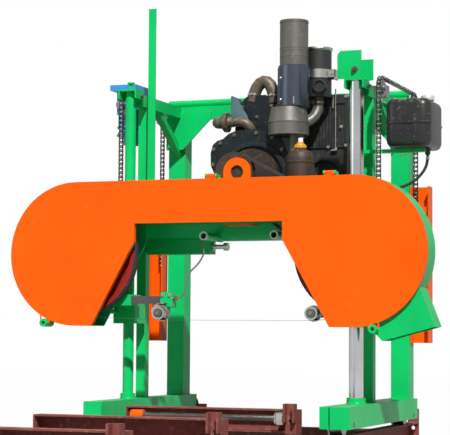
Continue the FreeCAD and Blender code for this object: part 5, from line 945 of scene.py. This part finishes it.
    def air_cleaner(self) -> None:
        """The bright lip, clamp band, port, neck and elbow of the air cleaner."""
        x, deep = self.CLEANER
        lip = self.piece("cleaner_lip", Look.ZINC, "zinc")
        lip.turn(Axis.Z, (x, deep, 884), [
            (56, -4), (60.5, 0), (62, 5), (60.5, 9.4), (54, 9.6), (54, -4)], 56, True)
        lip.turn(Axis.Z, (x, deep, 760), [(56, 0), (59.6, 0.5), (59.6, 37.5), (56, 38)], 56, True)
        lip.block((x + 52, deep - 30, 762), (x + 84, deep - 24, 796), 1.5)
        lip.block((x + 78, deep - 30, 752), (x + 84, deep + 10, 796), 1.5)
        lip.bolt(Axis.Y, (x + 68, deep - 30, 780), 8, -1)
        lip.done()
        port = self.piece("cleaner_port", Look.PLASTIC, "black_plastic")
        port.turn(Axis.Y, (x + 25, deep - 61, 722), [
            (20, 6), (20, -5), (22, -8), (27, -8), (28, -4), (26.5, 6)], 40, True)
        port.done()
        neck = self.piece("cleaner_neck", Look.BRASS, "steel")
        neck.collar(Axis.Z, (x, deep, 655), 20, 25, 8, 36)
        neck.done()
        elbow = self.piece("intake_elbow", Look.EXHAUST, "exhaust")
        elbow.sweep([(x, deep, 682), (x, deep, 650), (302, 484, 625), (294, 474, 602),
                     (280, 460, 584), (262, 446, 570), (246, 434, 556)], 23, 24)
        elbow.done()

    def canister(self) -> None:
        """The brown canister beside the block and its yellow cap."""
        x, deep = self.CANISTER
        foot = box_mm("radiator")[0].z - WHEEL_CENTRE
        case = self.piece("canister_shell", Look.BROWN)
        case.turn(Axis.Z, (x, deep, 0), [
            (56, self.SEAT), (59, self.SEAT + 3), (59, 396), (57, 412), (50, 426), (30, 437), (24, 439),
            (24, 444), (4, 444)], 56)
        case.turn(Axis.Z, (x, deep, 384), [(58, -4), (61.5, -2), (61.5, 2), (58, 4)], 56, True)
        case.block((x - 64, deep - 8, foot + 60), (x - 56, deep + 8, 380), 2)
        case.done("radiator")
        cap = self.piece("canister_cap", Look.YELLOW)
        cap.turn(Axis.Z, (x, deep, 443), [
            (23, 0), (24, 2), (24, 13), (21, 18), (15, 20), (14, 27), (4, 28)], 32)
        for px, py in round_outline((x, deep), 23.6, 0, 360, 14)[:-1]:
            cap.sweep([(px, py, 446), (px, py, 456)], 2.2, 8)
        cap.done("radiator")

    def radiator(self) -> None:
        """The shroud, stays and bolts of the radiator."""
        core = self.piece("radiator_core", Look.CORE)
        core.block((219, 552, 154), (411, 706, 694), 3)
        core.done("radiator")
        frame = self.piece("radiator_frame", Look.PLASTIC)
        frame.block((215, 700, 150), (415, 710, 700), 2)
        frame.block((223, 552, 660), (407, 702, 700), 6)
        frame.block((223, 552, 150), (407, 702, 186), 6)
        frame.turn(Axis.Y, (315, 546, 338), [(84, 8), (84, -12), (80, -14), (77, -12), (77, 8)], 48, True)
        for left, right in ((215, 225), (405, 415)):
            frame.block((left, 546, 150), (right, 552, 700), 1.5)
        for low, high in ((150, 162), (660, 700), (470, 478)):
            frame.block((215, 545, low), (415, 552, high), 1.5)
        for x in range(232, 414, 14):
            frame.block((x, 548, 482), (x + 5, 552, 656), 1)
        frame.done("radiator")
        stays = self.piece("radiator_stays", Look.ZINC, "zinc")
        stays.rod(Axis.Z, (364, 541, 462), 3.2, 262, 14)
        stays.rod(Axis.Z, (352, 543, 640), 4.5, 60, 14)
        for x, high in ((221, 690), (409, 690), (221, 480), (409, 480), (330, 474), (364, 466), (388, 560)):
            stays.bolt(Axis.Y, (x, 545, high), 7, -1)
        stays.block((345, 535, 456), (372, 546, 464), 1)
        stays.done()


# Portal, track, guides and tank


class Portal:
    """Weld beads, bolts and end pieces on the rolling portal."""

    TOP = 282.0
    COLUMNS = ((-460.0, 715.0, 32.0), (549.0, 715.0, 39.0))
    POSTS = ((-458.0, 1270.0, 40.0), (592.0, 1270.0, 40.0), (-450.0, 842.0, 21.0), (567.0, 842.0, 21.0))

    def build(self) -> None:
        """Makes every piece of the portal's dressing."""
        beads = Forge("portal_welds", Look.GREEN, "portal", "green")
        for x, y, radius in self.COLUMNS:
            ring = round_outline((x, y), radius, 0, 360, 48)[:-1]
            beads.sweep([(*spot, self.TOP) for spot in ring], 2.6, 8, closed=True)
        for seed, (x, y, half) in enumerate(self.POSTS):
            corners = [(x - half, y - half), (x + half, y - half), (x + half, y + half), (x - half, y + half)]
            for one, two in zip(corners, corners[1:] + corners[:1]):
                beads.bead((*one, self.TOP), (*two, self.TOP), 2.6, seed)
        beads.done()
        self.bolts()
        self.rubbers()

    def bolts(self) -> None:
        """Adds the bolts on the guard plate, the caps and the trolleys."""
        bolts = Forge("portal_bolts", Look.DULL, "portal", "zinc")
        low, high = box_mm("column_tops")
        front, top = low.y, high.z
        bolts.bolt(Axis.Y, (553, front, top - 78), 13, -1)
        bolts.rod(Axis.Y, (553, front - 8, top - 78), 5, -12, 14, 0.5)
        for x in (591.4, -417.8):
            bolts.bolt(Axis.X, (x, 730, top - 138), 10)
        axles = box_mm("roller_axles")
        for y in (382.0, 1283.0):
            for x, way in ((axles[1].x, 1), (axles[0].x, -1)):
                bolts.turn(Axis.X, (x - way * 0.4, y, 212), [(11, 0), (11, way * 1.2), (8.6, way * 1.8)], 28)
        bolts.done()
        heads = Forge("cap_bolt_rims", Look.GREEN, "portal", "green")
        for x, y, _ in self.COLUMNS:
            heads.turn(Axis.Z, (x, y, box_mm("cap_bolts")[1].z - 6.8), [
                (15, 0), (16, 1), (16, 4.5), (14, 6.6), (6, 6.7)], 28)
        heads.done()

    def rubbers(self) -> None:
        """Adds the round rubber wiper at the back of each trolley."""
        rubber = Forge("trolley_wipers", Look.TYRE, "portal", "rubber")
        for x in Track.RAILS:
            rubber.turn(Axis.Y, (x, 1345, 234), [(43, 0), (46, 2), (46, 11), (43, 13), (10, 13.5)], 44)
        rubber.done()


class Track:
    """Details of the rails, the feet, the bunks and the log clamp."""

    BUNKS = (-1195.0, -380.0, 435.0)
    RAILS = (-438.0, 580.0)
    CLAMP = (411.0, 228.0)
    FEET = (-1350.0, -450.0, 450.0, 1350.0)

    def build(self) -> None:
        """Makes every piece of the track's dressing."""
        beads = Forge("track_welds", Look.TRACK, "track", "track_red")
        for index, y in enumerate(self.BUNKS):
            for x in (-342.0, 392.0):
                beads.bead((x, y, 137), (x, y + 50, 137), 2.6, index)
            beads.bead((-340, y + 53.5, 178.5), (390, y + 53.5, 178.5), 2.2, index + 7)
            beads.bead((-413, y, 76.5), (-413, y + 50, 76.5), 2.8, index + 11)
            beads.bead((555, y, 76.5), (555, y + 50, 76.5), 2.8, index + 13)
        beads.done()
        threads = Forge("foot_threads", Look.ZINC, "track", "zinc")
        for x in self.RAILS:
            for y in self.FEET:
                threads.coil(Axis.Z, (x, y, 13), 12.2, 42, 3.0, 1.0)
                threads.hexagon(Axis.Z, (x, y, 57.6), 39, 12, 0.3)
        threads.done()
        self.clamp()

    def clamp(self) -> None:
        """Adds the clamp's jaw, its nut and its thread."""
        y, z = self.CLAMP
        jaw = Forge("clamp_jaw", Look.ORANGE, "log_clamp", "orange")
        jaw.turn(Axis.X, (-305.6, y, z), [(19, 0), (21.6, 2), (21.6, 54), (19, 56), (12, 56)], 36)
        jaw.done()
        nut = Forge("clamp_nut", Look.ZINC, "log_clamp", "steel")
        nut.hexagon(Axis.X, (318.5, y, z), 44.5, 27, 0.2)
        nut.turn(Axis.X, (311, y, z), [(12, 0), (24, 0.5), (24, 6), (12, 7)], 36)
        nut.done()
        thread = Forge("clamp_thread", Look.IRON, "log_clamp", "steel")
        thread.coil(Axis.X, (120, y, z), 12.3, 190, 5.0, 1.3)
        thread.done()


class Guides:
    """Details of the guide arm, the guide rollers, the stub pipes and the hoses' fittings."""

    LEFT, RIGHT = -237.0, 422.0
    LEVEL = -246.0
    SCRAPER_RADIUS = 40.0
    SCRAPER_SWELL = 1.07

    def build(self) -> None:
        """Makes every piece of the guides' dressing."""
        block = Forge("arm_block", Look.GREEN, "arm", "green", HEAD)
        block.block((-251.5, 84.8, -221.6), (-196.4, 130.2, -158.4), 2.5)
        block.block((-253.6, 90.6, -246), (-220.4, 124.2, -206), 2)
        block.done()
        bolts = Forge("arm_bolts", Look.ZINC, "arm", "zinc", HEAD)
        for x in (-240, -208):
            bolts.bolt(Axis.Y, (x, 84.8, -172), 7, -1)
        bolts.done()
        brass = Forge("arm_fitting", Look.BRASS, "arm", "steel", HEAD)
        brass.turn(Axis.X, (-197, 97.5, -185), [
            (9, 0), (9, 5), (6.4, 6), (6.4, 13), (8.4, 14), (8.4, 19), (5.2, 20), (4.6, 28), (3.8, 29)], 20)
        brass.done()
        scraper = Forge("guide_scraper", Look.POLISHED, "arm", "steel", HEAD)
        inner = round_outline((self.LEFT, self.LEVEL), self.SCRAPER_RADIUS, 172, 74, 14)
        outer = round_outline((self.LEFT, self.LEVEL), self.SCRAPER_RADIUS * self.SCRAPER_SWELL, 172, 74, 14)
        for i in range(len(inner) - 1):
            scraper.prism(Axis.Y, 60, 84, [inner[i], inner[i + 1], outer[i + 1], outer[i]])
        scraper.done()
        self.rollers()
        self.stubs()

    def rollers(self) -> None:
        """Adds the bearing rings and the bolt on each guide roller's face."""
        for name, body, x in (("left", "arm", self.LEFT), ("right", "head", self.RIGHT)):
            front = box_mm(f"guide_roller_{name}")[0].y - COVER_FRONT
            hub = Forge(f"guide_hub_{name}", Look.DULL, body, "steel", HEAD)
            hub.turn(Axis.Y, (x, front, self.LEVEL), [(18, 1), (18, -7.5), (17, -9), (8, -9)], 36)
            hub.done()
            cap = Forge(f"guide_bolt_{name}", Look.STEEL, body, "zinc", HEAD)
            cap.hexagon(Axis.Y, (x, front - 9, self.LEVEL), 17, -5, 0.4)
            cap.done()
            rings = Forge(f"guide_rings_{name}", Look.POLISHED, f"{name}_guide", "steel", HEAD)
            rings.turn(Axis.Y, (x, front, self.LEVEL), [
                (20.5, 0.4), (20.5, -1.6), (27, -1.6), (27.8, 0.4)], 44, True)
            rings.done()

    def stubs(self) -> None:
        """Adds the bright ring at the end of each stub pipe and the hose's clamps."""
        rings = Forge("stub_rings", Look.CHALK, "head", "zinc", HEAD)
        for x in (-64.0, 243.0):
            rings.turn(Axis.Y, (x, 96, 72), [
                (12.2, 1), (12.2, -2.5), (18.5, -2.5), (18.5, 6), (16.4, 6), (16.4, 1)], 40, True)
        rings.done()
        clamps = Forge("hose_clamps", Look.ZINC, "head", "zinc", HEAD)
        clamps.collar(Axis.Z, (822, 330, 386), 6, 7.6, 9, 28)
        clamps.block((818, 320, 387), (826, 324, 394), 0.8)
        clamps.done()


class Tank:
    """The fuel tank's pressed shell, with its rounded edges, seam, strap and cap."""

    CORNERS = ((674.0, 205.0), (860.0, 445.0))
    OUTLET = (822.0, 330.0)

    def shell(self, forge: Forge, rings: Outline, radius: float) -> None:
        """Stacks rounded outlines, each with its height and its inset."""
        (x0, y0), (x1, y1) = self.CORNERS
        stack = []
        for level, inset in rings:
            ring = []
            for cx, cy, start in ((x1 - radius, y1 - radius, 0), (x0 + radius, y1 - radius, 90),
                                  (x0 + radius, y0 + radius, 180), (x1 - radius, y0 + radius, 270)):
                ring += forge.ring((u, v, level) for u, v in round_outline(
                    (cx, cy), radius - inset, start, start + 90, 7))
            stack.append(ring)
        forge.cap(stack)
        forge.skin(stack)

    def build(self) -> None:
        """Makes the tank's pieces."""
        tank = Forge("tank_shell", Look.TANK, "head", "black_paint", HEAD)
        self.shell(tank, [(428, 26), (430, 15), (435, 8), (443, 3), (455, 0), (519, 0), (521, -3), (527, -3),
                          (529, 0), (596, 0), (608, 3), (617, 9), (622, 17), (624, 28)], 40)
        tank.turn(Axis.Z, (822, 330, 622), [(22, 0), (22, 10), (24, 11), (24, 13), (20, 13.5)], 36)
        tank.turn(Axis.Z, (822, 330, 404), [(9, 0), (11, 1), (11, 18), (15, 20), (15, 25), (9, 26)], 28)
        for x in (724, 800):
            tank.block((x - 9, 204.2, 446), (x + 9, 206, 604), 0.6)
        tank.done("fuel_tank")
        strap = Forge("tank_strap", Look.ZINC, "head", "zinc", HEAD)
        for x in (716, 732):
            strap.bolt(Axis.Z, (x, 316, 407), 8, -1)
        strap.turn(Axis.Z, (704, 250, 622.6), [(11, 0), (11, 5), (8, 8), (4, 9)], 24)
        strap.done()
        cap = Forge("filler_cap", Look.CHALK, "fuel_cap", "black_plastic", HEAD)
        low, top = (corner.z - WHEEL_CENTRE for corner in box_mm("tank_cap"))
        cap.turn(Axis.Z, (*self.OUTLET, low), [
            (24, 0), (26.5, 1), (27, 3), (27, top - low - 5), (25.5, top - low - 2), (20, top - low - 1),
            (19, top - low), (5, top - low)], 40)
        for spot in round_outline(self.OUTLET, 26.2, 0, 360, 20)[:-1]:
            cap.sweep([(*spot, low + 3), (*spot, top - 6)], 1.5, 6)
        cap.done("tank_cap")


# Hoses


@dataclass(frozen=True)
class Hose:
    """A hose between two pieces: its route, which the part's source has too, and its facts."""

    name: str
    node: str
    body: str
    route: tuple[Point, ...]
    diameter: float
    length: float
    stiffness: str
    look: Look = Look.RUBBER

    def build(self) -> None:
        """Makes the hose as one smooth curve."""
        curve = bpy.data.curves.new(self.name, "CURVE")
        curve.dimensions = "3D"
        spline = curve.splines.new("NURBS")
        spline.points.add(len(self.route) - 1)
        for spot, place in zip(spline.points, self.route):
            spot.co = (*(Vector(head(*place)) * MM), 1.0)
        spline.order_u = 3
        spline.use_endpoint_u = True
        spline.resolution_u = 10
        curve.bevel_depth = self.diameter / 2 * MM
        curve.bevel_resolution = 5
        curve.use_fill_caps = True
        curve.materials.append(Materials.get(self.look))
        thing = bpy.data.objects.new(self.name, curve)
        bpy.context.scene.collection.objects.link(thing)
        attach(thing, self.body)
        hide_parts(self.node)


LUBE_HOSE = Hose("lubricant_hose", "lube_hose", "arm", (
    (-64, 96, 55), (-64, 92, 36), (-60, 96, 6), (-74, 102, -22), (-96, 106, -48), (-126, 104, -74),
    (-140, 100, -104), (-144, 98, -134), (-150, 97.5, -166), (-170, 97.5, -185), (-179, 97.5, -185)),
    7.0, 0.286, "medium", Look.TUBE)
FUEL_HOSE = Hose("fuel_line", "fuel_hose", "head", (
    (822, 330, 404), (822, 330, 372), (806, 326, 334), (772, 320, 298), (724, 318, 274),
    (670, 319, 266), (614, 319, 270), (560, 319, 272), (508, 322, 268), (474, 345, 262),
    (462, 396, 258), (458, 448, 260), (457, 500, 264), (454, 550, 266), (444, 588, 267),
    (430, 600, 268), (415.6, 600, 268)), 12.0, 0.709, "medium")


class Hoses:
    """The two hoses."""

    def build(self) -> None:
        """Makes both hoses."""
        LUBE_HOSE.build()
        FUEL_HOSE.build()


# Light, floor and camera


class Studio:
    """The pale floor, the soft light and the photograph's camera."""

    LENS_MM = 135.2
    PLACE = (2.5065, -5.875, 0.560)
    HEADING = (-0.3584, 0.9336, 0.0)
    PITCH_DEGREES = 3.911
    ROLL_DEGREES = 0.4
    SENSOR_MM = 36.0
    SUNS = (("key", (-0.42, 0.75, -0.85), 4.1, 2.0), ("fill", (0.8, 0.7, -0.35), 0.22, 30.0))
    SKY_FILL = 0.12
    SKY_MIRRORED = 0.45
    FLOOR_SIZE = 14.0
    FLOOR_SEEN = 0.985
    FLOOR_MIRRORED = 0.4

    def backdrop(self) -> None:
        """Adds a white floor under the machine."""
        graph = Graph("studio_white")
        graph.surface(Base_Color=(0.42, 0.42, 0.42), Roughness=0.9)
        tree = graph.tree
        path = graph.node("ShaderNodeLightPath")
        bright = graph.node("ShaderNodeEmission", {"Color": (1.0, 1.0, 1.0, 1.0), "Strength": 1.0})
        part = graph.math("MAXIMUM", Socket(graph, path.outputs["Is Camera Ray"]) * self.FLOOR_SEEN,
                          Socket(graph, path.outputs["Is Glossy Ray"]) * self.FLOOR_MIRRORED)
        blend = graph.node("ShaderNodeMixShader",
                           {0: part, 1: graph.shader.outputs[0], 2: bright.outputs[0]})
        tree.links.new(blend.outputs[0], tree.nodes["Material Output"].inputs["Surface"])
        size = self.FLOOR_SIZE
        data = bpy.data.meshes.new("studio_floor")
        data.from_pydata([(-size, -size, 0), (size, -size, 0), (size, size, 0), (-size, size, 0)], [],
                         [(0, 1, 2, 3)])
        data.materials.append(graph.material)
        floor = bpy.data.objects.new("studio_floor", data)
        floor.location = (0.0, 2.0, -0.001)
        bpy.context.scene.collection.objects.link(floor)
        floor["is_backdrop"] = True

    def world(self) -> None:
        """Sets an even white surrounding."""
        world = bpy.data.worlds.new("studio")
        bpy.context.scene.world = world
        world.use_nodes = True
        tree = world.node_tree
        tree.nodes.clear()
        mix = tree.nodes.new("ShaderNodeMixShader")
        for slot, strength in ((1, self.SKY_FILL), (2, 1.0)):
            light = tree.nodes.new("ShaderNodeBackground")
            light.inputs[0].default_value = (1.0, 1.0, 1.0, 1.0)
            light.inputs[1].default_value = strength
            tree.links.new(light.outputs[0], mix.inputs[slot])
        path = tree.nodes.new("ShaderNodeLightPath")
        seen = tree.nodes.new("ShaderNodeMath")
        seen.operation = "MAXIMUM"
        tree.links.new(path.outputs["Is Camera Ray"], seen.inputs[0])
        mirrored = tree.nodes.new("ShaderNodeMath")
        mirrored.operation = "MULTIPLY"
        mirrored.inputs[1].default_value = self.SKY_MIRRORED
        tree.links.new(path.outputs["Is Glossy Ray"], mirrored.inputs[0])
        tree.links.new(mirrored.outputs[0], seen.inputs[1])
        tree.links.new(seen.outputs[0], mix.inputs[0])
        out = tree.nodes.new("ShaderNodeOutputWorld")
        tree.links.new(mix.outputs[0], out.inputs[0])

    def lamps(self) -> None:
        """Adds the sun from the upper left front and a weak fill."""
        for name, heading, power, degrees in self.SUNS:
            data = bpy.data.lights.new(name, "SUN")
            data.energy = power
            data.angle = math.radians(degrees)
            lamp = bpy.data.objects.new(name, data)
            lamp.rotation_euler = Vector(heading).to_track_quat("-Z", "Y").to_euler()
            bpy.context.scene.collection.objects.link(lamp)

    def camera(self) -> None:
        """Puts the camera where the photograph was taken from."""
        data = bpy.data.cameras.new("photo_camera")
        data.lens = self.LENS_MM
        data.sensor_width = self.SENSOR_MM
        data.clip_end = 60.0
        camera = bpy.data.objects.new("photo_camera", data)
        pitch = math.radians(self.PITCH_DEGREES)
        forward = Vector((self.HEADING[0] * math.cos(pitch), self.HEADING[1] * math.cos(pitch),
                          math.sin(pitch)))
        turn = forward.to_track_quat("-Z", "Y").to_matrix().to_4x4()
        roll = Matrix.Rotation(math.radians(self.ROLL_DEGREES), 4, "Z")
        camera.matrix_world = Matrix.Translation(self.PLACE) @ turn @ roll
        bpy.context.scene.collection.objects.link(camera)
        bpy.context.scene.camera = camera

    def build(self) -> None:
        """Sets up everything around the machine."""
        self.backdrop()
        self.world()
        self.lamps()
        self.camera()
        bpy.context.scene.view_settings.view_transform = "Standard"


ASSEMBLIES = (Hoses, Lift, Anchors, Engine, Portal, Track, Guides, Tank)


class Sawmill:
    """The whole machine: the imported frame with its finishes, and every detailed piece."""

    def __init__(self) -> None:
        self.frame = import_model()
        self.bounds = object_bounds()
        self.slots = {entry["node"]: entry["material_slot"] for entry in self.frame["record"]["subparts"]}

    def finish_nodes(self) -> None:
        """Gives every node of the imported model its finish."""
        for node, thing in self.frame["nodes"].items():
            look = NODE_LOOKS.get(node) or SLOT_LOOKS[self.slots[node]]
            thing.data.materials.clear()
            thing.data.materials.append(Materials.get(look))

    def build(self) -> None:
        """Builds the scene."""
        self.finish_nodes()
        for assembly in ASSEMBLIES:
            LOG.info("building %s", assembly.__name__)
            assembly().build()
        Studio().build()


def main() -> None:
    """Builds the scene."""
    logging.basicConfig(level=logging.INFO)
    mill = Sawmill()
    mill.build()


if __name__ == "__main__":
    main()
